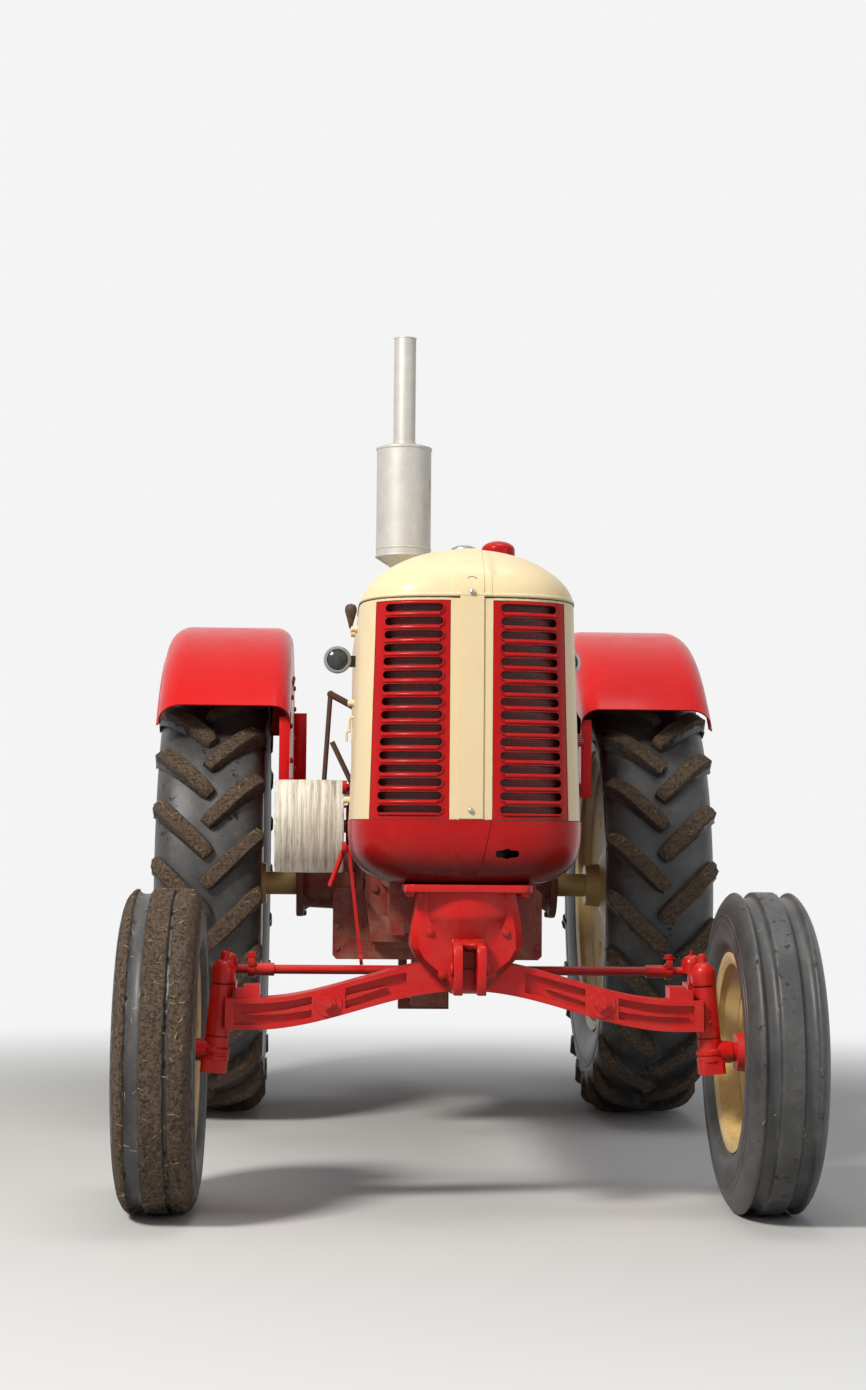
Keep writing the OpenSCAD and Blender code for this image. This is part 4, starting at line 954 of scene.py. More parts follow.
    def bolt(self, centre: Point, way: Point, across: float, height: float, washer: bool = True) -> None:
        """Sets a hex bolt's head with its washer and domed top.

        Args:
            centre: where the bolt meets its seat.
            way: the way that its head points.
            across: the radius over the corners.
            height: the head's height.
            washer: whether a washer lies under it.
        """
        seat, ahead = Vector(centre), Vector(way).normalized()
        rise = 0.0
        if washer:
            rise = height * 0.22
            self.rod(seat - ahead * 0.001, seat + ahead * rise, across * 1.35, sides=18)
        top = seat + ahead * (rise + height)
        self.rod(seat, top, across, sides=6)
        self.rod(top - ahead * 0.001, top + ahead * height * 0.14, across * 0.78, tip=across * 0.55, sides=12)

    def stacked(self, seat: Point, way: Vector, rows: Sequence[tuple]) -> None:
        """Sets rods one after the other along one way.

        Args:
            seat: the point that they are measured from.
            way: the way that they point.
            rows: the start, end, radius, tip, sides and bevel of each.
        """
        for low, high, radius, tip, sides, bevel in rows:
            self.rod(Vector(seat) + way * low, Vector(seat) + way * high, radius, tip, sides, 0, bevel)

    def bolts(self, seats: Sequence[Point], way: Point, across: float, height: float) -> None:
        """Sets a bolt of one size on each of several seats."""
        for seat in seats:
            self.bolt(seat, way, across, height)

    def meshed(self, name: str, finishes: Sequence[Finish], crease: float) -> bpy.types.Object:
        """Turns the bench into an object that shades smooth up to a crease angle in degrees.

        Args:
            name: the object's name.
            finishes: its finishes, in the order of the paint numbers.
            crease: the angle in degrees past which an edge shades sharp.

        Returns:
            The new object.
        """
        mesh = bpy.data.meshes.new(name)
        self.bm.to_mesh(mesh)
        self.bm.free()
        for finish in finishes:
            mesh.materials.append(PAINTS.of(finish))
        mesh.shade_smooth()
        mesh.set_sharp_from_angle(angle=radians(crease))
        return placed(name, mesh)

    def done(self, name: str, body: str, finishes: Sequence[Finish], crease: float = 38.0,
             merge: float = 1e-5, replaces: Sequence[str] = ()) -> bpy.types.Object:
        """Closes the mesh and hands it to its body.

        Args:
            name: the piece's name.
            body: the CAD body that it rides on.
            finishes: its finishes, in the order of the paint numbers.
            crease: the angle in degrees past which an edge shades sharp.
            merge: how close two vertices are merged.
            replaces: the CAD nodes that it stands for.

        Returns:
            The piece's object.
        """
        if merge:
            bmesh.ops.remove_doubles(self.bm, verts=self.bm.verts[:], dist=merge)
        bmesh.ops.recalc_face_normals(self.bm, faces=self.bm.faces[:])
        piece = self.meshed(name, finishes, crease)
        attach(piece, body)
        if replaces:
            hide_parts(*replaces)
        log.info("%s: %d faces on %s", name, len(piece.data.polygons), body)
        return piece


def baked(piece: bpy.types.Object) -> None:
    """Applies a piece's modifiers to its mesh, so that helper objects can go.

    Args:
        piece: the piece with its modifiers.
    """
    graph = bpy.context.evaluated_depsgraph_get()
    made = bpy.data.meshes.new_from_object(piece.evaluated_get(graph))
    old = piece.data
    piece.modifiers.clear()
    piece.data = made
    made.name = piece.name
    bpy.data.meshes.remove(old)


def carved(piece: bpy.types.Object, tool: Bench, name: str, finish: Finish, crossing: bool) -> None:
    """Cuts a bench's closed forms out of a piece.

    Args:
        piece: the piece that is cut.
        tool: the forms that cut it.
        name: the name that the tool has meanwhile.
        finish: the finish of the cut faces.
        crossing: whether forms cross each other inside the piece or the tool.
    """
    cutter = tool.done(name, "chassis", [finish])
    hole = piece.modifiers.new("hole", "BOOLEAN")
    hole.operation = "DIFFERENCE"
    hole.solver = "EXACT"
    hole.use_self = crossing
    hole.object = cutter
    baked(piece)
    bpy.data.objects.remove(cutter)


def bevelled(piece: bpy.types.Object, width: float, angle: float) -> bpy.types.Modifier:
    """Rounds a piece's edges past an angle in degrees with a modifier.

    Args:
        piece: the piece.
        width: the width of its rounded edges.
        angle: the least angle in degrees of an edge that is rounded.

    Returns:
        The modifier.
    """
    edge = piece.modifiers.new("edge", "BEVEL")
    edge.width = width
    edge.segments = 2
    edge.limit_method = "ANGLE"
    edge.angle_limit = radians(angle)
    return edge


def eased(table: Sequence[Point], at: float) -> list[float]:
    """Reads a table of rows by its last column, smoothly between the rows.

    Args:
        table: rows whose last number grows.
        at: the value of the last number.

    Returns:
        The other numbers there.
    """
    for index in range(len(table) - 1):
        low, high = table[index], table[index + 1]
        if at <= high[-1] or index == len(table) - 2:
            before, after = table[max(index - 1, 0)], table[min(index + 2, len(table) - 1)]
            part = (at - low[-1]) / (high[-1] - low[-1])
            values = []
            for col in range(len(low) - 1):
                slope_a = (high[col] - before[col]) / (high[-1] - before[-1])
                slope_b = (after[col] - low[col]) / (after[-1] - low[-1])
                step = high[-1] - low[-1]
                p2, p3 = part * part, part ** 3
                values.append((2 * p3 - 3 * p2 + 1) * low[col] + (p3 - 2 * p2 + part) * step * slope_a
                              + (3 * p2 - 2 * p3) * high[col] + (p3 - p2) * step * slope_b)
            return values
    return list(table[-1][:-1])


# Carried-over CAD


class Refit:
    """Softens the shading and edges of the CAD nodes and paints them."""

    def __init__(self) -> None:
        """Builds the shading group once."""
        self.tree = bpy.data.node_groups.new("Crease_Shading", "GeometryNodeTree")
        self.tree.interface.new_socket("Geometry", in_out="INPUT", socket_type="NodeSocketGeometry")
        self.tree.interface.new_socket("Geometry", in_out="OUTPUT", socket_type="NodeSocketGeometry")
        wiring = Wiring(self.tree)
        given, out = wiring.add("NodeGroupInput"), wiring.add("NodeGroupOutput")
        angle = wiring.add("GeometryNodeInputMeshEdgeAngle")
        sharp = wiring.add("FunctionNodeCompare", {0: angle.outputs[0], 1: radians(33)}, data_type="FLOAT",
                           operation="GREATER_THAN")
        soft = wiring.add("GeometryNodeSetShadeSmooth", {"Geometry": given.outputs[0]}, domain="FACE")
        hard = wiring.add("GeometryNodeSetShadeSmooth",
                          {"Geometry": soft.outputs[0], "Selection": sharp.outputs[0],
                           "Shade Smooth": False}, domain="EDGE")
        self.tree.links.new(hard.outputs[0], out.inputs[0])

    def dress(self, node: str, finish: Finish, bevel: float) -> None:
        """Paints one CAD node and softens its edges.

        Args:
            node: the node's name.
            finish: its finish.
            bevel: the width of its rounded edges, or 0 for none.
        """
        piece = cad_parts[node]
        if not piece.material_slots:
            piece.data.materials.append(None)
        for place in piece.material_slots:
            place.material = PAINTS.of(finish)
        weld = piece.modifiers.new("weld", "WELD")
        weld.merge_threshold = 2e-5
        flat = piece.modifiers.new("flat", "DECIMATE")
        flat.decimate_type = "DISSOLVE"
        flat.angle_limit = radians(0.6)
        if bevel:
            bevelled(piece, bevel, 38).miter_outer = "MITER_ARC"
        shade = piece.modifiers.new("shade", "NODES")
        shade.node_group = self.tree
        even = piece.modifiers.new("even", "WEIGHTED_NORMAL")
        even.keep_sharp = True
        log.info("%s dressed in %s", node, finish.name)


CAST_ALLOY = Metal("Cast_Alloy", paint(150, 146, 138), "cast_alloy", metallic=0.6, rough=0.5, rust=0.2)

# The CAD nodes that keep their own mesh, by finish and width of the rounded edges
NODE_FINISHES: dict[tuple[Finish, float], str] = {
    (RED_LOW, 0.001): "fan",
    (RED_LOW, 0.002): "oil_filter platform",
    (RED_LOW, 0.003): "side_frame drawbar",
    (RED_LOW, 0.004): "engine_block cylinder_head",
    (RED_LOW, 0.005): "clutch_housing gearbox rear_axle_housing",
    (RED_LOW, 0.006): "oil_pan",
    (RED_CAST, 0.001): "tie_rod",
    (RED_CAST, 0.002): "axle_pin knuckle_left knuckle_right front_hub_left front_hub_right pulley_linkage "
                       "pedals",
    (RED_CAST, 0.003): "steering_arm pulley_drive",
    (RED_CAST, 0.0035): "front_axle",
    (RED, 0.001): "intake_cap",
    (RED, 0.0012): "grille_left grille_right",
    (RED, 0.002): "steering_column",
    (RED, 0.003): "seat dash",
    (CREAM_WHEEL, 0.001): "front_rim_left front_rim_right",
    (CREAM_WHEEL, 0.0015): "rear_disc_left rear_disc_right rear_rim_left rear_rim_right",
    (CREAM, 0.001): "nose_shell hood",
    (CREAM, 0.0015): "centre_strip",
    (BLACK, 0.0): "steering_wheel",
    (BLACK, 0.002): "generator lamp_left lamp_right",
    (BLACK, 0.004): "radiator",
    (IRON, 0.001): "hand_levers",
    (IRON, 0.003): "manifold",
    (STEEL, 0.001): "radiator_cap pto_shaft",
    (ALUMINIUM, 0.001): "exhaust",
    (CAST_ALLOY, 0.002): "carburettor",
    (WireScreen(), 0.0): "grille_screen",
    (PulleyFace(), 0.003): "belt_pulley",
}


# The pieces


@dataclass
class Nose:
    """The rounded nose: its domed cap, the bowl under it and their trim."""

    half_low: float = 0.296
    half_top: float = 0.277
    reach: float = 0.200
    root: float = 0.100
    back: float = 0.330
    square: float = 1.6
    wall: float = 0.004
    crease: float = 32.0

    def half_at(self, height: float) -> float:
        """Gives the shell's half width at a height."""
        return self.half_low + (self.half_top - self.half_low) * (height - SHELL_Z) / (SEAM_Z - SHELL_Z)

    def dome_half(self, part: float) -> float:
        """Gives the dome's half width at a part of its height."""
        return self.half_top * (1 - part ** 1.8) ** 0.5556

    def dome_reach(self, part: float) -> float:
        """Gives how far the dome stands ahead of the front axle at a part of its height."""
        return self.reach + (self.reach + self.root) * ((1 - part ** 2.2) ** 0.4545 - 1)

    def plan(self, half: float, reach: float, back: float, crease: float, count: int = 34) -> list[Pair]:
        """Draws the nose's outline seen from above.

        Args:
            half: the half width.
            reach: how far the tip stands ahead of the front axle.
            back: how far the straight sides run behind it.
            crease: the half width of the raised middle band.
            count: how many steps go round each corner.

        Returns:
            Points from the back on the right, round the front, to the back on the left.
        """
        edge = min(crease, half * 0.4)
        near = [0.0, edge * 0.35, edge * 0.7, edge - min(0.0012, edge * 0.2), edge + min(0.0012, edge * 0.2)]
        angles = [asin((x / half) ** self.square) for x in near]
        start = angles[-1]
        for step in range(1, count + 1):
            part = step / count
            angles.append(start + (pi / 2 - start) * (part * 0.35 + 0.65 * (1 - (1 - part) ** 1.5)))
        power = 1 / self.square
        side = [(half * sin(a) ** power, self.root - (reach + self.root) * max(cos(a), 0.0) ** power)
                for a in angles]
        side += [(half, self.root + (back - self.root) * part) for part in (0.33, 0.66, 1.0)]
        return [(-x, y) for x, y in reversed(side[1:])] + side

    def sheet_form(self, rows: Sequence[tuple[float, float, float, float, float]], back: float, lift: float
                   ) -> Bench:
        """Skins an open sheet through plan outlines.

        Args:
            rows: half width, reach, height, crease half width and lip of each outline.
            back: how far the sides run back.
            lift: how far the middle band is raised.

        Returns:
            The sheet on its bench.
        """
        bench = Bench()
        rings = []
        for half, reach, height, crease, lip in rows:
            points = []
            for x, y in self.plan(half + lip, reach + lip, back, crease):
                raised = lift if abs(x) < min(crease, half * 0.4) else 0.0
                points.append((x, FRONT_Y + y - raised, height + raised * 0.3))
            rings.append(bench.ring(points, closed=False))
        bench.skin(rings)
        return bench

    def outward(self, bench: Bench, centre: Point) -> None:
        """Turns the sheet's faces away from a point inside it.

        Args:
            bench: the sheet's bench.
            centre: the point inside it.
        """
        bm = bench.bm
        bmesh.ops.remove_doubles(bm, verts=bm.verts[:], dist=1e-5)
        bmesh.ops.recalc_face_normals(bm, faces=bm.faces[:])
        inside = Vector(centre)
        facing = sum((face.calc_center_median() - inside).normalized().dot(face.normal) * face.calc_area()
                     for face in bm.faces)
        if facing < 0:
            bmesh.ops.reverse_faces(bm, faces=bm.faces[:])

    def finish_sheet(self, bench: Bench, name: str, finish: Finish, node: str) -> bpy.types.Object:
        """Gives a sheet its thickness and finish, in place of its CAD node.

        Args:
            bench: the sheet's bench.
            name: the piece's name.
            finish: its finish.
            node: the CAD node that it stands for.

        Returns:
            The piece's object.
        """
        piece = bench.meshed(name, [finish], self.crease)
        wall = piece.modifiers.new("wall", "SOLIDIFY")
        wall.thickness = self.wall
        wall.offset = -1.0
        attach(piece, "chassis")
        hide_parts(node)
        log.info("%s skinned", name)
        return piece

    def dome(self) -> bpy.types.Object:
        """Builds the domed cap with its rolled lip and raised band.

        Returns:
            The piece's object.
        """
        span, band, start, steps = DOME_Z - SEAM_Z, 0.050, 0.0733, 32
        rows = []
        for height, lip in ((0.0002, 0.0022), (0.006, 0.0024), (0.0095, 0.0016), (0.011, 0.0)):
            part = height / span
            rows.append((self.dome_half(part), self.dome_reach(part), SEAM_Z + height, band, lip))
        for step in range(1, steps + 1):
            part = min(start + (1 - start) * (1 - (1 - step / steps) ** 2.4), 0.99995)
            rows.append((max(self.dome_half(part), 0.0006), self.dome_reach(part), SEAM_Z + span * part,
                         band, 0.0))
        bench = self.sheet_form(rows, self.back, 0.0016)
        self.outward(bench, (0, FRONT_Y + 0.15, SEAM_Z))
        return self.finish_sheet(bench, "dome_sheet", CREAM, "dome")

    def chin(self) -> bpy.types.Object:
        """Builds the bowl under the nose with its creases and crank hole.

        Returns:
            The piece's object.
        """
        table = [(1.0, 1.0, 0.0), (0.997, 0.99, 0.25), (0.98, 0.965, 0.48), (0.94, 0.92, 0.65),
                 (0.88, 0.85, 0.79), (0.80, 0.77, 0.89), (0.69, 0.65, 0.97), (0.57, 0.52, 1.0)]
        deep = SHELL_Z - FRAME_Z - 0.0004
        rows = []
        for step in range(35):
            down = 1 - (1 - step / 34) ** 1.7
            width, ahead = eased(table, down)
            rows.append(((self.half_low + 0.003) * width, 0.202 * ahead, SHELL_Z - 0.0004 - deep * down,
                         0.052 - 0.030 * min(down * 1.1, 1.0), 0.0))
        bench = self.sheet_form(rows, 0.190, 0.0022)
        low = [v for v in bench.bm.verts if abs(v.co.z - FRAME_Z) < 2e-3]
        bmesh.ops.contextual_create(bench.bm, geom=[e for e in edges_within(low) if e.is_boundary])
        self.outward(bench, (0, FRONT_Y + 0.05, SHELL_Z))
        piece = self.finish_sheet(bench, "chin_bowl", RED, "chin_pan")
        cutter = Bench()
        upper = [(0.026, 0.008), (0.010, 0.009), (0.0, 0.0135), (-0.010, 0.009), (-0.026, 0.008)]
        outline = [(0.030, 0.0)] + upper + [(-0.030, 0.0)] + [(x, -z) for x, z in reversed(upper)]
        cutter.plate([(0.092 + x, FRONT_Y - 0.35, SHELL_Z - 0.082 + z) for x, z in outline], (0, 0.30, 0))
        carved(piece, cutter, "crank_cutter", RED, False)
        piece.data.shade_smooth()
        piece.data.set_sharp_from_angle(angle=radians(self.crease))
        return piece

    def trim(self) -> None:
        """Adds dark strips that paint the seams' shade, a dark rod that paints the slit's shade, and the
        screws, knobs and control of the nose.
        """
        bench = Bench()
        # painted shade: a thin dark rubber strip along each seam stands for the shadow line there
        for height, half, reach in ((SHELL_Z, self.half_low - 0.0005, 0.1995),
                                    (SEAM_Z - 0.0006, self.half_top - 0.0012, 0.1988)):
            bench.swept([front(x, y, height) for x, y in self.plan(half, reach, 0.326, 0.0)], 0.0022, sides=6)
        bench.done("seam_shade_strip", "chassis", [RUBBER_TRIM])
        bench = Bench()
        for height, ahead in ((SHELL_Z + 0.024, 0.204), (SEAM_Z + 0.012, 0.2035)):
            bench.turned([(0.0, 0.0046), (0.0035, 0.0042), (0.0062, 0.0024), (0.0068, 0.0), (0.0068, -0.002)],
                         (0.0, FRONT_Y - ahead - 0.003, height), Axis.Y, steps=24)
        for vert in bench.bm.verts:
            vert.co.y = 2 * (FRONT_Y - 0.207) - vert.co.y
        bench.done("strip_screws", "chassis", [STEEL])
        bench = Bench()
        # painted shade: a thin dark rod stands for the shade inside the slit on the dome's band
        arch = []
        for step in range(13):
            turn = radians(180 * step / 12)
            rise = 0.046 + 0.0055 * sin(turn)
            part = rise / (DOME_Z - SEAM_Z)
            ahead = self.dome_reach(part) + 0.0036 * (1 - part * part)
            arch.append(front(0.011 * cos(turn), -ahead, SEAM_Z + rise))
        bench.swept(arch, 0.0011, sides=8)
        bench.done("strip_slit_shade", "chassis", [RUBBER_TRIM])
        bench = Bench()
        for side in SIDES:
            for height in (1.500, 1.300, 1.040):
                seat = front(side * self.half_at(height), 0.285, height)
                bench.stacked(seat, side * LEFT, ((-0.002, 0.006, 0.0105, None, 24, 0.001),
                                                  (0.005, 0.017, 0.0072, 0.0086, 24, 0.0015)))
        bench.done("side_knobs", "chassis", [CREAM])
        bench = Bench()
        seat = Vector((-0.281, FRONT_Y + 0.42, 1.500))
        bench.rod(seat, seat + Vector((-0.012, 0, 0.002)), 0.010, sides=20, paint_index=1, bevel=0.001)
        drop = [(0.0, -0.034), (0.0045, -0.030), (0.007, -0.018), (0.012, 0.0), (0.0165, 0.016),
                (0.0165, 0.026), (0.012, 0.034), (0.0, 0.038)]
        bench.turned(drop, seat + Vector((-0.014, 0, 0.046)), Axis.Z, steps=28)
        bench.rod(seat + Vector((-0.011, 0, 0)), seat + Vector((-0.013, 0, 0.018)), 0.004, sides=12,
                  paint_index=1)
        bench.done("teardrop_control", "chassis", [LEATHER, CREAM])

    def louvres(self) -> None:
        """Rolls a rounded face onto every bar between the grille's slots."""
        last = 16
        pitch = (SEAM_Z - SHELL_Z - 0.020) / last
        for side in SIDES:
            bench = Bench()
            for step in range(last + 1):
                height = SHELL_Z + 0.010 + pitch * step
                half = self.half_at(height)
                line = [(x, y) for x, y in self.plan(half - 0.0012, self.reach - 0.0012, self.back, 0.0, 60)
                        if 0.073 < side * x < half - 0.066]
                rise = 0.0042 if step in (0, last) else 0.0064
                shift = 0.004 if step == 0 else -0.004 if step == last else 0.0
                bench.swept([front(x, y, height + shift) for x, y in line], rise, sides=12)
            bench.done(f"grille_bars_{hand(side)}", "chassis", [RED])

    def build(self) -> None:
        """Builds the whole nose."""
        self.dome()
        self.chin()
        self.trim()
        self.louvres()


def lumps_at(place: Vector, scale: float, slow: float) -> float:
    """Gives the height of dried mud at a place, as a share of its depth."""
    return noise.fractal(place * scale, 0.8, 2.0, 4) * 0.5 + noise.noise(place * slow) * 0.5


def straw_bit(bench: Bench, pick: random.Random, centre: Vector, place: Place, lengths: Pair) -> None:
    """Lays one bit of straw at a random lean on a tyre's mud.

    Args:
        bench: the tyre's mesh.
        pick: the random numbers.
        centre: the wheel's centre.
        place: the place across, the turn and the radius.
        lengths: its least and greatest length.
    """
    across, turn, radius = place
    out = Vector((0, sin(turn), cos(turn)))
    lean = pick.uniform(0, pi)
    along = (Vector((0, cos(turn), -sin(turn))) * cos(lean) + LEFT * sin(lean)).normalized()
    length = pick.uniform(*lengths)
    middle = centre + Vector((across, 0, 0)) + out * radius
    start = middle - along * length / 2 + out * 0.0006
    end = middle + along * length / 2 + out * (0.0010 + length * 0.06)
    bench.rod(start, end, 0.0008, tip=0.0005, sides=3, paint_index=1)


@dataclass
class FrontTyre:
    """A three-ribbed front tyre, muddy from the field."""

    side: int
    muddy: float
    filled: bool
    seed: int = 11
    straw: int = 190
    outer: float = 0.405
    seat: float = 0.2285
    tread: float = 0.078
    steps: int = 320

    def section(self) -> list[Place]:
        """Draws the tyre's section.

        Returns:
            Radius, place across and mud, from the inner bead round the tread to the outer one.
        """
        wall = [(self.seat, 0.066, 0.0), (0.2400, 0.0725, 0.1), (0.2520, 0.0770, 0.15), (0.2545, 0.0815, 0.1),
                (0.2580, 0.0830, 0.1), (0.2620, 0.0835, 0.1), (0.2650, 0.0862, 0.2), (0.2740, 0.0925, 0.25),
                (0.2860, 0.0975, 0.2), (0.3000, 0.0998, 0.2), (0.3160, 0.1000, 0.2), (0.3260, 0.0994, 0.2),
                (0.3270, 0.1006, 0.2), (0.3300, 0.1006, 0.2), (0.3310, 0.0990, 0.2), (0.3440, 0.0982, 0.25),
                (0.3450, 0.0994, 0.25), (0.3480, 0.0992, 0.3), (0.3490, 0.0976, 0.3), (0.3620, 0.0962, 0.35),
                (0.3740, 0.0935, 0.5), (0.3840, 0.0885, 0.7), (0.3920, 0.0830, 0.85), (0.3985, 0.0775, 1.0),
                (0.4025, 0.0725, 1.0), (0.4035, 0.0690, 1.0), (0.4025, 0.0664, 0.9)]
        open_groove = [(0.3990, 0.0640, 0.5), (0.3940, 0.0605, 0.1), (0.3908, 0.0560, 0.0),
                       (0.3898, 0.0510, 0.0), (0.3894, 0.0455, 0.0), (0.3896, 0.0400, 0.0),
                       (0.3906, 0.0350, 0.0), (0.3935, 0.0310, 0.1), (0.3985, 0.0285, 0.5)]
        caked = [(0.4030, 0.0640, 1.0), (0.4028, 0.0600, 1.0), (0.4024, 0.0550, 1.0), (0.4022, 0.0500, 1.0),
                 (0.4018, 0.0450, 1.0), (0.4010, 0.0405, 1.0), (0.3980, 0.0378, 0.8), (0.3915, 0.0366, 0.2),
                 (0.3905, 0.0300, 0.2)]
        crown = [(0.4030, 0.0270, 0.9), (0.4048, 0.0245, 1.0), (0.4050, 0.0180, 1.0), (0.4050, 0.0110, 1.0),
                 (0.4050, 0.0050, 1.0)]
        inner = wall + (caked if self.filled else open_groove) + crown
        outer = wall + open_groove + crown
        line = [(radius, -across, mud) for radius, across, mud in inner] + [(0.4050, 0.0, 1.0)]
        return line + [(radius, across, mud) for radius, across, mud in reversed(outer)]

    def build(self) -> bpy.types.Object:
        """Spins the tyre, roughens its mud and strews straw on it.

        Returns:
            The piece's object.
        """
        bench = Bench()
        line = self.section()
        centre = Vector((self.side * FRONT_X, FRONT_Y, SPIN_Z))
        bench.turned([(radius, across * self.side) for radius, across, _ in line], centre, Axis.X, self.steps,
                     mud=[mud * self.muddy for _, _, mud in line])
        bmesh.ops.remove_doubles(bench.bm, verts=bench.bm.verts[:], dist=1e-5)
        for vert in bench.bm.verts:
            arm = vert.co - centre
            radius = hypot(arm.y, arm.z)
            lumps = lumps_at(vert.co, 34.0, 9.0)
            crumbs = noise.fractal(vert.co * 95.0, 0.7, 2.0, 3)
            value = vert[bench.mud] + (lumps * 0.3 + crumbs * 0.22) * self.muddy
            vert[bench.mud] = max(0.0, min(1.2, value))
            if radius > 0.37 and vert[bench.mud] > 0.35:
                cut = (0.55 + lumps * 0.9 + crumbs * 1.1) * 0.0050 * min(self.muddy, 1.0)
                vert.co -= Vector((0, arm.y, arm.z)).normalized() * max(0.0, cut)
        pick = random.Random(self.seed + self.side)
        for _ in range(int(self.straw * self.muddy)):
            turn = pick.uniform(0, FULL_TURN)
            across = pick.uniform(-self.tread, self.tread)
            straw_bit(bench, pick, centre, (across, turn, self.outer - 0.0026), (0.004, 0.016))
        name = hand(self.side)
        return bench.done(f"front_tyre_tread_{name}", f"front_wheel_{name}", [TYRE, STRAW], crease=50.0,
                          merge=0.0, replaces=[f"front_tyre_{name}"])


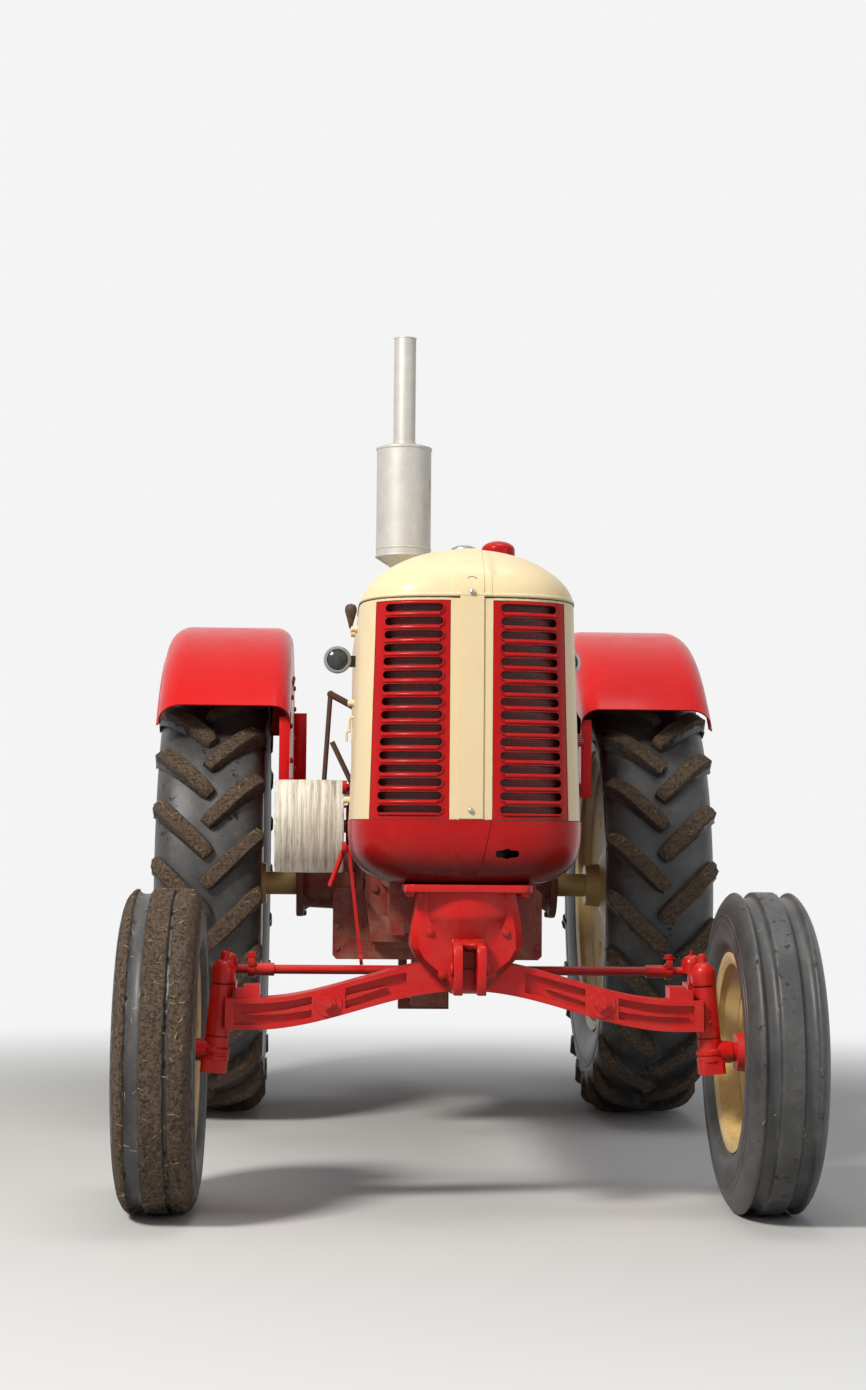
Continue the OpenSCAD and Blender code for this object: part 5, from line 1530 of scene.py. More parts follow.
@dataclass
class RearTyre:
    """A lugged rear tyre with mud and straw on its bars."""

    side: int
    muddy: float
    seed: int = 31
    straw: int = 620
    lugs: int = 24
    carcass: float = 0.747
    half: float = 0.179
    middle: float = 0.0895
    roll: float = 0.766

    def height_over(self, across: float, lug: bool) -> float:
        """Gives the radius of the carcass or of the lugs' tops at a place across.

        Args:
            across: the place across, from the wheel's middle.
            lug: whether it is read over the lugs.

        Returns:
            The radius there.
        """
        across = abs(across)
        tops = [(0.0, 0.7850), (0.095, 0.7850), (0.137, 0.7715), (0.167, 0.7400), (0.179, 0.7050),
                (0.2, 0.690)]
        base = [(0.0, 0.7470), (0.060, 0.7470), (0.113, 0.7375), (0.147, 0.7180), (0.167, 0.6860),
                (0.174, 0.665), (0.2, 0.64)]
        table = [(value, place) for place, value in (tops if lug else base)]
        return eased(table, across)[0]

    def section(self) -> list[Place]:
        """Draws the carcass, from the inner bead to the outer one.

        Returns:
            Radius, place across and mud of each point.
        """
        wall = [(0.4825, 0.130, 0.0), (0.4960, 0.1345, 0.1), (0.5095, 0.137, 0.1), (0.5120, 0.1420, 0.1),
                (0.5180, 0.1440, 0.1), (0.5230, 0.1455, 0.1), (0.5262, 0.1492, 0.15), (0.5400, 0.1570, 0.2),
                (0.5600, 0.1650, 0.2), (0.5850, 0.1700, 0.2), (0.6100, 0.1712, 0.2), (0.6250, 0.1704, 0.2),
                (0.6262, 0.1722, 0.2), (0.6300, 0.1720, 0.2), (0.6312, 0.1700, 0.2), (0.6450, 0.1700, 0.25)]
        rise = []
        for step in range(15):
            across = 0.1725 * (1 - (step / 15) ** 1.15)
            rise.append((self.height_over(across, lug=False) if across < 0.170 else 0.668, across, 0.22))
        half = wall + rise
        line = [(radius, -across, mud) for radius, across, mud in half] + [(self.carcass, 0.0, 0.2)]
        return line + [(radius, across, mud) for radius, across, mud in reversed(half)]

    def lug(self, bench: Bench, hand: int) -> Verts:
        """Lofts one bar along its slant, at the top of the wheel's own axes.

        Args:
            bench: the tyre's mesh.
            hand: which half of the tread it lies on.

        Returns:
            The bar's vertices.
        """
        rings = []
        count = 15
        for step in range(count + 1):
            part = step / count
            across = -0.008 + 0.187 * part
            back = across - self.middle
            top = self.height_over(across, lug=True) - 0.0006
            base = self.height_over(across, lug=False) - 0.007
            swell = sin(pi * part) ** 0.22 if 0 < part < 1 else 0.0
            width = 0.0245 * (0.72 + 0.28 * swell)
            if step == 0:
                top = base + (top - base) * 0.72
            lift = top - base
            shape = [(-1.45, 0.0), (-1.26, 0.18), (-1.10, 0.55), (-1.0, 0.90), (-0.86, 1.0), (-0.4, 1.008),
                     (0.0, 1.012), (0.4, 1.008), (0.86, 1.0), (1.0, 0.90), (1.10, 0.55), (1.26, 0.18),
                     (1.45, 0.0)]
            points = []
            for over, up in shape:
                x = min(across - over * width * 0.7071, self.half)
                y = back + over * width * 0.7071
                radius = base + lift * up
                turn = y / self.roll
                points.append((hand * x, radius * sin(turn), radius * cos(turn)))
            ring = bench.ring(points)
            for vert, (_, up) in zip(ring, shape):
                vert[bench.mud] = 0.98 if up > 0.95 else 0.62 if up > 0.5 else 0.35
            rings.append(ring)
        bench.skin(rings)
        bench.cap(rings)
        return [vert for ring in rings for vert in ring]

    def strew(self, bench: Bench, centre: Vector) -> None:
        """Lays bits of straw on the bars' tops.

        Args:
            bench: the tyre's mesh.
            centre: the wheel's centre.
        """
        pick = random.Random(self.seed + self.side)
        for _ in range(self.straw):
            across = pick.uniform(0.0, 0.165)
            way = pick.choice(SIDES)
            lug = pick.randrange(self.lugs) + (0.0 if way > 0 else 0.5)
            shift = pick.choice(SIDES) * pick.uniform(0.006, 0.021)
            turn = (across - self.middle + shift) / self.roll - lug * FULL_TURN / self.lugs
            place = (self.side * way * across, turn, self.height_over(across, lug=True) - 0.0045)
            straw_bit(bench, pick, centre, place, (0.006, 0.022))

    def build(self) -> bpy.types.Object:
        """Spins the carcass, sets the bars and roughens their mud.

        Returns:
            The piece's object.
        """
        bench = Bench()
        bars = self.lug(bench, 1)
        more = self.lug(bench, -1)
        half_turn = Matrix.Rotation(pi / self.lugs, 4, "X")
        bmesh.ops.transform(bench.bm, matrix=half_turn, verts=more)
        whole = bars + more
        for step in range(1, self.lugs):
            geom = list({face for vert in whole for face in vert.link_faces})
            geom += whole + list({edge for vert in whole for edge in vert.link_edges})
            made = bmesh.ops.duplicate(bench.bm, geom=geom)
            fresh = [item for item in made["geom"] if isinstance(item, bmesh.types.BMVert)]
            turn = Matrix.Rotation(step * FULL_TURN / self.lugs, 4, "X")
            bmesh.ops.transform(bench.bm, matrix=turn, verts=fresh)
        if self.side < 0:
            bmesh.ops.scale(bench.bm, vec=(-1, 1, 1), verts=bench.bm.verts[:])
        centre = Vector((self.side * REAR_X, REAR_Y, REAR_Z))
        bmesh.ops.translate(bench.bm, vec=centre, verts=bench.bm.verts[:])
        line = self.section()
        bench.turned([(radius, across) for radius, across, _ in line], centre, Axis.X, 160,
                     mud=[mud for _, _, mud in line])
        for vert in bench.bm.verts:
            arm = vert.co - centre
            radius = hypot(arm.y, arm.z)
            lumps = lumps_at(vert.co, 30.0, 7.0)
            vert[bench.mud] = max(0.0, min(1.2, vert[bench.mud] * self.muddy + lumps * 0.34))
            if radius > self.height_over(min(abs(arm.x), 0.178), lug=True) - 0.006:
                vert.co -= Vector((0, arm.y, arm.z)).normalized() * max(0.0, (0.45 + lumps) * 0.0042)
        self.strew(bench, centre)
        name = hand(self.side)
        return bench.done(f"rear_tyre_tread_{name}", f"rear_wheel_{name}", [TYRE, STRAW], crease=46.0,
                          merge=0.0, replaces=[f"rear_tyre_{name}"])


@dataclass
class FrontTrim:
    """Fasteners, boots and nipples of the front axle and its steering."""

    king_x: float = 0.628
    lean: float = radians(5)
    stud_x: float = 0.606
    rod_z: float = 0.598
    arm: float = 0.160

    def on_king(self, side: int, height: float, ahead: float) -> Vector:
        """Gives a point in front of a kingpin, at a height along its own axis."""
        return front(side * (self.king_x - height * sin(self.lean)), -ahead, SPIN_Z + height * cos(self.lean))

    def nipple(self, bench: Bench, seat: Vector, way: Vector) -> None:
        """Sets a grease nipple where it is screwed in, pointing a way.

        Args:
            bench: the mesh that it joins.
            seat: where it is screwed in.
            way: the way that it points.
        """
        bench.stacked(seat, way, ((-0.002, 0.004, 0.0052, None, 6, 0.0),
                                  (0.004, 0.010, 0.0030, 0.0024, 10, 0.0),
                                  (0.010, 0.013, 0.0034, 0.0020, 10, 0.0)))

    def axle(self) -> None:
        """Adds the fittings that stay on the axle and the castings."""
        bench = Bench()
        for side in SIDES:
            self.nipple(bench, self.on_king(side, 0.078, 0.030), -BACK)
            bench.bolt(front(side * 0.095, -0.102, 0.708), -BACK, 0.0095, 0.008)
            bench.bolt(front(side * 0.062, -0.102, 0.602), -BACK, 0.0085, 0.007)
            bench.bolts([front(side * 0.143, depth, 0.806) for depth in (-0.115, -0.040, 0.040)], -UP,
                        0.0105, 0.009)
        bench.done("bolster_bolts", "chassis", [RED_CAST])
        bench = Bench()
        for side in SIDES:
            bench.stacked(front(0, -0.200, 0.619), side * LEFT, ((0.0405, 0.047, 0.0185, None, 28, 0.0012),))
        bench.done("hitch_bushes", "chassis", [RED_CAST])

    def knuckle(self, side: int) -> None:
        """Adds the castle nut and its pin, which turn with one knuckle.

        Args:
            side: -1 for the right-hand side, +1 for the left.
        """
        name = hand(side)
        bench = Bench()
        seat = front(side * self.stud_x, self.arm, self.rod_z - 0.050)
        bench.stacked(seat, -UP, ((0.0, 0.003, 0.017, None, 24, 0.0), (0.002, 0.013, 0.0150, None, 6, 0.0008),
                                  (0.0, 0.024, 0.0072, None, 16, 0.001)))
        for step in range(3):
            turn = turned_at(seat - UP * 0.0155, radians(60 * step), "Z")
            for end in (-0.0095, 0.0095):
                bench.block((end - 0.0035, -0.0042, -0.0045), (end + 0.0035, 0.0042, 0.0045), 0.0006,
                            turn=turn)
        bench.stacked(seat - UP * 0.017, LEFT, ((-0.019, 0.019, 0.0015, None, 8, 0.0),))
        bench.done(f"castle_nut_{name}", f"knuckle_{name}", [RED_CAST])

    def linkage(self) -> None:
        """Adds the boots, clamps' bolts and nipples that ride on the tie rod."""
        folds = [(0.0152, -0.0172), (0.0174, -0.0176), (0.0192, -0.0160), (0.0180, -0.0142),
                 (0.0214, -0.0120), (0.0198, -0.0100), (0.0234, -0.0076), (0.0236, -0.0044),
                 (0.0154, -0.0044), (0.0152, -0.0172)]
        bench = Bench()
        for side in SIDES:
            bench.turned(folds, front(side * self.stud_x, self.arm, self.rod_z), Axis.Z, 40)
        bench.done("tie_rod_boots", "tie_rod", [RUBBER_TRIM])
        bench = Bench()
        for side in SIDES:
            self.nipple(bench, front(side * self.stud_x, self.arm, self.rod_z + 0.0435), UP)
            clamp = front(side * (self.stud_x - 0.061), self.arm, self.rod_z)
            bench.bolt(clamp + Vector((0, -0.008, 0.034)), UP, 0.0115, 0.008)
            bench.block(clamp + Vector((-0.008, -0.024, 0.008)), clamp + Vector((0.008, -0.016, 0.030)),
                        0.0015)
        bench.done("tie_rod_fittings", "tie_rod", [RED_CAST])

    def wheels(self, side: int) -> None:
        """Adds the valve stem and the retaining ring of one front wheel.

        Args:
            side: -1 for the right-hand side, +1 for the left.
        """
        name = hand(side)
        centre = Vector((side * FRONT_X, FRONT_Y, SPIN_Z))
        bench = Bench()
        foot = centre + Vector((side * 0.024, 0, 0.1965))
        bend = foot + Vector((side * 0.010, 0, -0.020))
        bench.rod(foot, bend, 0.0046, sides=14)
        bench.rod(bend, foot + Vector((side * 0.018, 0, -0.034)), 0.0052, 0.0048, 14, bevel=0.0006)
        bench.done(f"front_valve_{name}", f"front_wheel_{name}", [RUBBER_TRIM])
        bench = Bench()
        ring = [(0.2012, 0.0135), (0.2046, 0.0180), (0.2070, 0.0260), (0.2048, 0.0262), (0.2020, 0.0190),
                (0.1996, 0.0148), (0.2012, 0.0135)]
        bench.turned([(radius, side * along) for radius, along in ring], centre, Axis.X, 96)
        bench.done(f"front_rim_weld_{name}", f"front_wheel_{name}", [CREAM_WHEEL])

    def build(self) -> None:
        """Adds all of it."""
        self.axle()
        self.linkage()
        for side in SIDES:
            self.knuckle(side)
            self.wheels(side)


def on_arc(x: float, inset: float, angle: float) -> Vector:
    """Gives a point inside a fender's arc; 0 degrees is its crown and 90 its front."""
    turn = radians(angle)
    return rear(x, -(ARC_R - inset) * sin(turn), ARC_Z + (ARC_R - inset) * cos(turn))


@dataclass
class RearTrim:
    """Rim clamps, axle nuts and beads of the rear wheels and their fenders."""

    clamps: int = 8
    clamp_r: float = 0.414

    def wheel(self, side: int) -> None:
        """Adds the clamps, nut and valve of one rear wheel.

        Args:
            side: -1 for the right-hand side, +1 for the left.
        """
        name = hand(side)
        centre = Vector((side * REAR_X, REAR_Y, REAR_Z))
        out = side * LEFT
        bench = Bench()
        xs = sorted((side * -0.084, side * -0.070))
        for step in range(self.clamps):
            turn = turned_at(centre, (step + 0.5) * FULL_TURN / self.clamps, "X")
            bench.block((xs[0], -0.026, 0.396), (xs[1], 0.026, 0.4400), 0.003, turn=turn)
            bench.bolt(turn @ Vector((side * -0.070, 0, self.clamp_r)), out, 0.0135, 0.011)
        bench.done(f"rim_clamps_{name}", f"rear_wheel_{name}", [CREAM_WHEEL])
        bench = Bench()
        bench.stacked(centre, out, ((-0.0125, -0.007, 0.048, None, 40, 0.001),
                                    (-0.007, 0.020, 0.036, None, 6, 0.002),
                                    (0.0, 0.028, 0.021, None, 28, 0.002)))
        bench.stacked(centre + out * 0.023, BACK, ((-0.034, 0.034, 0.0028, None, 10, 0.0),))
        foot = centre + Vector((side * 0.040, 0.30, 0.334))
        bench.rod(foot, foot + Vector((side * 0.014, -0.018, -0.020)), 0.006, sides=14, bevel=0.0008)
        bench.done(f"axle_nut_{name}", f"rear_wheel_{name}", [STEEL])

    def fender(self, side: int) -> None:
        """Adds the rolled edge, the seam and the bolts of one fender.

        Args:
            side: -1 for the right-hand side, +1 for the left.
        """
        bench = Bench()
        bench.swept([on_arc(side * 0.9045, 0.0945, angle) for angle in range(-50, 49, 2)], 0.0052, sides=10)
        bench.swept([on_arc(side * 0.4805, 0.150, angle) for angle in range(-48, 47, 4)], 0.0030, sides=8)
        bench.done(f"fender_beads_{hand(side)}", "chassis", [RED_SHEET])
        bench = Bench()
        x, inward = side * 0.4770, -side * LEFT
        bench.bolts([on_arc(x, 0.176, angle) for angle in range(-42, 43, 14)], inward, 0.0085, 0.006)
        low = ((-0.45, 1.13), (-0.45, 1.20), (0.36, 1.13), (0.44, 1.20))
        bench.bolts([rear(x, y, z) for y, z in low], inward, 0.0095, 0.007)
        bench.done(f"fender_bolts_{hand(side)}", "chassis", [RED_CAST])

    def build(self) -> None:
        """Adds all of it on both sides."""
        for side in SIDES:
            self.wheel(side)
            self.fender(side)


@dataclass
class EngineTrim:
    """Plugs, nuts, covers and bands of the engine, clutch and gearbox."""

    block_y: float = 0.290
    bell_y: float = 1.100
    head_z: float = 1.290
    head_half: float = 0.120

    def on_block(self, x: float, along: float, z: float) -> Vector:
        """Gives a point whose place along is measured from the block's front."""
        return front(x, self.block_y + along, z)

    def head(self) -> None:
        """Adds the head's nuts, the rocker cover's bead and cap, and the spark plugs."""
        bench = Bench()
        for side in SIDES:
            seats = [self.on_block(side * 0.1085, 0.072 + step * 0.0825, self.head_z) for step in range(9)]
            bench.bolts(seats, UP, 0.0085, 0.008)
        middle, reach = (self.block_y + self.bell_y) / 2, (self.bell_y - self.block_y - 0.170) / 2 + 0.006
        bench.block(front(-0.066, middle - reach, self.head_z),
                    front(0.096, middle + reach, self.head_z + 0.007), 0.003)
        for step in (-1, 0, 1):
            seat = front(0.015, middle + step * 0.22, self.head_z + 0.078)
            bench.rod(seat, seat + UP * 0.003, 0.017, sides=28)
            bench.turned([(0.0, 0.014), (0.005, 0.013), (0.0085, 0.010), (0.010, 0.004), (0.010, 0.0)], seat,
                         Axis.Z, 24)
        bench.done("head_nuts", "chassis", [RED_LOW])
        bench = Bench()
        seat = front(0.015, middle - 0.12, self.head_z + 0.078)
        bench.turned([(0.0, 0.030), (0.018, 0.0295), (0.023, 0.027), (0.024, 0.022), (0.024, 0.010),
                      (0.016, 0.009), (0.016, 0.0)], seat, Axis.Z, 36)
        bench.block(seat + Vector((-0.019, -0.003, 0.028)), seat + Vector((0.019, 0.003, 0.036)), 0.0015)
        bench.done("oil_filler_cap", "chassis", [BLACK])
        bench = Bench()
        shell = [(0.0, 0.044), (0.0052, 0.043), (0.0058, 0.038), (0.0052, 0.036), (0.0062, 0.033),
                 (0.0056, 0.031), (0.0066, 0.027), (0.0070, 0.016), (0.0, 0.016)]
        for step in range(4):
            seat = self.on_block(self.head_half - 0.022, 0.150 + step * 0.170, self.head_z + 0.034)
            bench.stacked(seat, UP, ((0.0, 0.010, 0.0125, None, 6, 0.0008),
                                     (0.009, 0.016, 0.0095, 0.0075, 20, 0.0),
                                     (0.042, 0.051, 0.0035, None, 12, 0.0)))
            bench.turned(shell, seat, Axis.Z, 20, 1)
        bench.done("spark_plugs", "chassis", [STEEL, DIAL])

    def sides(self) -> None:
        """Adds the block's side cover, core plugs, pan bolts, manifold nuts and dipstick."""
        bench = Bench()
        bench.block(self.on_block(0.139, 0.12, 0.996), self.on_block(0.147, 0.68, 1.130), 0.004)
        bench.block(self.on_block(0.139, 0.135, 1.010), self.on_block(0.153, 0.665, 1.116), 0.008, segments=3)
        bench.bolts([self.on_block(0.152, along, 1.063) for along in (0.24, 0.40, 0.56)], LEFT, 0.010, 0.008)
        for side in SIDES:
            x = side * 0.142
            bench.block(self.on_block(x - 0.006, 0.050, 0.838), front(x + 0.006, self.bell_y - 0.065, 0.852),
                        0.002)
            for step in range(10):
                seat = self.on_block(side * 0.1400, 0.075 + step * 0.072, 0.838)
                bench.bolt(seat, -UP, 0.0072, 0.006, washer=False)
            for step in range(5):
                x, along = side * 0.1405, 0.075 + step * 0.17
                bench.block(self.on_block(x - 0.004, along - 0.006, 0.86),
                            self.on_block(x + 0.004, along + 0.006, 0.985), 0.003)
            plug = [(0.0, -side * 0.001), (0.020, -side * 0.001), (0.024, side * 0.002),
                    (0.027, side * 0.002), (0.028, 0.0)]
            for step in range(4):
                bench.turned(plug, self.on_block(side * 0.146, 0.150 + step * 0.170, 0.956), Axis.X, 32)
                bench.bolt(self.on_block(side * 0.1395, 0.235 + step * 0.170, 1.165), side * LEFT, 0.009,
                           0.007)
        bench.done("block_details", "chassis", [RED_LOW])
        bench = Bench()
        bench.bolts([self.on_block(0.001 - self.head_half, 0.140 + step * 0.175 + side * 0.038,
                                   self.head_z - 0.040) for step in range(4) for side in SIDES], -LEFT,
                    0.009, 0.008)
        bench.done("manifold_nuts", "chassis", [IRON])
        bench = Bench()
        bends = ((0.160, 0.90), (0.175, 0.98), (0.176, 1.10), (0.172, 1.155))
        stick = [self.on_block(x, 0.70, z) for x, z in bends]
        bench.swept(stick, 0.005, sides=12)
        bench.swept([self.on_block(0.172 - x, 0.70, 1.168 + z) for z, x in circle(12, 0.012, 180)], 0.0022,
                    sides=8)
        bench.block(self.on_block(0.139, 0.688, 0.888), self.on_block(0.170, 0.712, 0.904), 0.003)
        bench.done("dipstick", "chassis", [STEEL])

    def ancillaries(self) -> None:
        """Adds bands, screws and terminals to the generator, filter and carburettor."""
        bench = Bench()
        hub = front(0.205, self.block_y, 1.080)
        band = [(0.0595, -0.006), (0.0622, -0.005), (0.0622, 0.005), (0.0595, 0.006)]
        for along in (0.150, 0.300, 0.322):
            bench.turned(band, hub + BACK * along, Axis.Y, 64)
        bench.bolts([hub + Vector((x, 0.340, z)) for x, z in circle(3, 0.044, 40)], BACK, 0.006, 0.004)
        bench.block(hub + Vector((0.020, 0.20, 0.052)), hub + Vector((0.062, 0.26, 0.076)), 0.004)
        for along in (0.215, 0.245):
            bench.stacked(hub + Vector((0.041, along, 0)), UP, ((0.075, 0.087, 0.004, None, 12, 0.0),))
        bench.done("generator_bands", "chassis", [STEEL])
        bench = Bench()
        top = self.on_block(0.200, 0.570, 0.930)
        bench.turned([(0.0518, 0.168), (0.0545, 0.170), (0.0545, 0.180), (0.0518, 0.182)], top, Axis.Z, 56)
        bench.bolt(top + UP * 0.199, UP, 0.013, 0.012)
        bench.bolt(top + UP * 0.001, -UP, 0.010, 0.008)
        bench.done("filter_band", "chassis", [RED_LOW])
        bench = Bench()
        bowl = self.on_block(-0.205, 0.400, self.head_z - 0.194)
        for x, y in circle(4, 0.032, 45):
            bench.stacked(bowl + Vector((x, y, 0)), UP, ((-0.004, 0.006, 0.0045, None, 12, 0.0006),))
        throat = bowl + UP * 0.044
        bench.stacked(throat, -BACK, ((0.052, 0.075, 0.024, 0.033, 36, 0.0),))
        bench.stacked(throat, -LEFT, ((0.030, 0.050, 0.005, None, 14, 0.0),))
        bench.block(bowl + Vector((-0.054, -0.004, 0.020)), bowl + Vector((-0.050, 0.004, 0.052)), 0.001)
        bench.done("carburettor_screws", "chassis", [STEEL])

    def housings(self) -> None:
        """Adds the bolts, covers and plugs of the clutch housing, gearbox and rear axle."""
        bench = Bench()
        rim = ((0.205, 0.79), (0.207, 0.87), (0.207, 0.95), (0.196, 1.03), (0.176, 1.085))
        for side in SIDES:
            wall = side * LEFT
            bench.bolts([front(side * x, self.bell_y, z) for x, z in rim], -BACK, 0.0105, 0.009)
            bench.bolts([front(side * 0.2300, 1.405, z) for z in (0.66, 0.74, 0.82, 0.90, 0.98)], wall,
                        0.010, 0.008)
            x = side * 0.2325
            bench.block(front(x - 0.004, 1.46, 0.68), front(x + 0.004, 1.80, 0.97), 0.004)
            bench.bolts([front(side * 0.2360, y, z) for y in (1.49, 1.63, 1.77) for z in (0.71, 0.94)], wall,
                        0.010, 0.008)
            bench.bolts([rear(side * 0.2500, y, REAR_Z + z) for y, z in circle(8, 0.148, 22.5)], wall, 0.012,
                        0.010)
            bench.bolts([rear(side * 0.4280, y, REAR_Z + z) for y, z in circle(6, 0.104, 30)], -wall, 0.009,
                        0.007)
        bench.block(rear(-0.170, 0.199, 0.800), rear(0.170, 0.210, 1.010), 0.004)
        bench.bolts([rear(x, 0.210, z) for x in (-0.150, 0.0, 0.150) for z in (0.820, 0.990)], BACK, 0.0115,
                    0.009)
        bench.bolts([rear(x, 0.240, 0.700 + z) for x, z in circle(6, 0.050, 30)], BACK, 0.007, 0.006)
        bench.block(front(-0.120, 1.645, 1.079), front(0.120, 1.688, 1.092), 0.003)
        bench.bolt(front(0, 1.60, 0.600), -UP, 0.016, 0.010)
        bench.done("housing_bolts", "chassis", [RED_LOW])
        bench = Bench()
        bench.bolts([front(-0.246, 1.240 + y, 0.978 + z) for y, z in circle(6, 0.099)], -LEFT, 0.009, 0.007)
        bench.done("pulley_drive_bolts", "chassis", [RED_CAST])
        bench = Bench()
        bench.block(rear(-0.105, 0.246, 0.792), rear(0.105, 0.400, 0.797), 0.002)
        for side in SIDES:
            for x, half, y, z, back, top in ((0.1025, 0.0025, 0.246, 0.680, 0.385, 0.796),
                                             (0.115, 0.012, 0.239, 0.690, 0.247, 0.760)):
                bench.block(rear(side * x - half, y, z), rear(side * x + half, back, top), 0.001)
        bench.done("shaft_shield", "chassis", [RED_LOW])

    def build(self) -> None:
        """Adds all of it."""
        self.head()
        self.sides()
        self.ancillaries()
        self.housings()


@dataclass
class DriverTrim:
    """Gauges, gear lever, platform ribs, lamp lenses and the hood's and stack's seams."""

    dash_y: float = 1.560
    deck_z: float = 1.094

    def gauge(self, bench: Bench, centre: Vector, radius: float, needle: float) -> None:
        """Sets one dial with its bezel, plain marks and needle.

        Args:
            bench: the mesh that takes it.
            centre: the middle of its back.
            radius: its radius.
            needle: the needle's angle in degrees.
        """
        bench.turned([(0.0, 0.006), (radius * 0.86, 0.006), (radius * 0.90, 0.013), (radius, 0.013),
                      (radius * 1.05, 0.008), (radius * 1.05, -0.001)], centre, Axis.Y, 48)
        bench.turned([(0.0, 0.0072), (radius * 0.87, 0.0072), (radius * 0.87, 0.005)], centre, Axis.Y, 48, 1)
        marks = [(step * 30, 0.018, 0.0065, 0.64, 0.0078, 0.80) for step in range(-4, 5)]
        for angle, half, back, low, face, high in marks + [(needle, 0.022, 0.0085, -0.16, 0.0095, 0.66)]:
            bench.block((-radius * half, back, radius * low), (radius * half, face, radius * high), 0.0, 2,
                        turned_at(centre, radians(angle), "Y"))
        bench.rod(centre + BACK * 0.007, centre + BACK * 0.0105, radius * 0.09, sides=16, paint_index=2)

    def dash(self) -> None:
        """Adds the dials and knobs of the dash, and the gear lever."""
        bench = Bench()
        for x, z, radius, needle in ((-0.135, 1.520, 0.042, -70.0), (0.135, 1.520, 0.042, 35.0),
                                     (-0.150, 1.400, 0.026, 0.0), (0.150, 1.400, 0.026, 60.0)):
            self.gauge(bench, front(x, self.dash_y, z), radius, needle)
        bench.done("dash_gauges", "chassis", [STEEL, DIAL, BLACK])
        bench = Bench()
        knob = [(0.0, 0.036), (0.008, 0.035), (0.0125, 0.030), (0.0125, 0.022), (0.007, 0.016), (0.0, 0.016)]
        for side in SIDES:
            seat = front(side * 0.180, self.dash_y, 1.300)
            bench.rod(seat, seat + BACK * 0.016, 0.006, sides=16)
            bench.turned(knob, seat, Axis.Y, 28)
        seat = front(0.0, 1.730, self.deck_z)
        bench.turned([(0.050, 0.0), (0.050, 0.006), (0.036, 0.010), (0.030, 0.030), (0.022, 0.052),
                      (0.016, 0.070), (0.0, 0.072)], seat, Axis.Z, 40)
        lever = [seat + Vector(step) for step in ((0, 0, 0.060), (0, 0.004, 0.14), (0.002, 0.016, 0.20),
                                                  (0.006, 0.040, 0.26), (0.008, 0.060, 0.30))]
        bench.swept(lever, 0.0075, sides=16)
        bench.turned([(0.0, 0.048), (0.012, 0.046), (0.0215, 0.036), (0.0235, 0.024), (0.0190, 0.010),
                      (0.010, 0.0), (0.0, 0.0)], seat + Vector((0.008, 0.060, 0.295)), Axis.Z, 32)
        bench.done("gear_lever", "chassis", [BLACK])

    def platform(self) -> None:
        """Adds foot ribs to the platform and the pedals, and a bead to the seat."""
        bench = Bench()
        for side in SIDES:
            low, high = sorted((side * 0.245, side * 0.445))
            for step in range(9):
                y = -0.545 + step * 0.038
                bench.block(rear(low, y, self.deck_z - 0.001), rear(high, y + 0.012, self.deck_z + 0.0035),
                            0.0015)
        for x in (0.335, 0.420):
            turn = turned_at(front(x, 1.460, self.deck_z - 0.060), radians(20), "X")
            for step in range(5):
                y = -0.044 + step * 0.018
                bench.block((-0.034, y, 0.243), (0.034, y + 0.008, 0.2475), 0.0012, turn=turn)
        bench.done("foot_ribs", "chassis", [RED_LOW])
        bench = Bench()
        half, deep, corner, height = 0.225, 0.200, 0.088, self.deck_z + 0.252
        rim = []
        for step in range(49):
            turn = radians(step * 180 / 48)
            x = (half - corner) * (1 if turn < pi / 2 else -1) + corner * cos(turn)
            rim.append(rear(x, 0.230 + deep - corner + corner * sin(turn), height))
        bench.swept([rear(half, 0.172, height)] + rim + [rear(-half, 0.172, height)], 0.0055, sides=10)
        bench.done("seat_bead", "chassis", [RED])

    def lamps(self) -> None:
        """Adds lenses and bezels to the two lamps."""
        lens = [(0.0, -0.0215), (0.012, -0.0205), (0.022, -0.0180), (0.030, -0.0135), (0.0, -0.0135)]
        bezel = [(0.0300, -0.0120), (0.0305, -0.0165), (0.0345, -0.0165), (0.0395, -0.0090),
                 (0.0390, -0.0040), (0.0360, -0.0040)]
        for side in SIDES:
            bench = Bench()
            for index, profile in enumerate((lens, bezel)):
                bench.turned(profile, front(side * 0.329, 0.680, 1.448), Axis.Y, 48, index)
            bench.done(f"lamp_lens_{hand(side)}", "chassis", [GLASS, STEEL])

    def seams(self) -> None:
        """Adds the hood's hinge and latches, and the silencer's rolled seams."""
        bench = Bench()
        hinge = DOME_Z + 0.0015
        bench.rod(front(0, 0.340, hinge), front(0, 1.490, hinge), 0.0045, sides=16)
        for step in range(14):
            y = 0.350 + step * 0.082
            bench.rod(front(0, y, hinge), front(0, y + 0.004, hinge), 0.0056, sides=16)
        for side in SIDES:
            for y in (0.520, 1.300):
                foot = front(side * 0.277, y, 1.262)
                bench.block(foot - Vector((0.004, 0.014, 0.022)), foot + Vector((0.004, 0.014, 0.022)), 0.002)
                handle = [foot + Vector((side * out, 0, rise)) for out, rise in
                          ((0.002, 0.014), (0.014, 0.014), (0.018, 0.006), (0.018, -0.020))]
                bench.swept(handle, 0.0042, sides=10)
        bench.done("hood_fittings", "chassis", [CREAM])
        bench = Bench()
        stack = front(-0.148, 0.550, 0.0)
        for height, radius in ((1.731, 0.0785), (1.752, 0.0775)):
            bench.turned([(radius - 0.003, -0.003), (radius, -0.0025), (radius + 0.0012, 0.0),
                          (radius, 0.0025), (radius - 0.003, 0.003)], stack + UP * height, Axis.Z, 64)
        bench.block(stack + Vector((0.060, 0.040, 1.756)), stack + Vector((0.066, 0.052, 2.030)), 0.002)
        band = [(0.0370, -0.010), (0.0395, -0.009), (0.0395, 0.009), (0.0370, 0.010)]
        bench.turned(band, stack + UP * 1.7125, Axis.Z, 48)
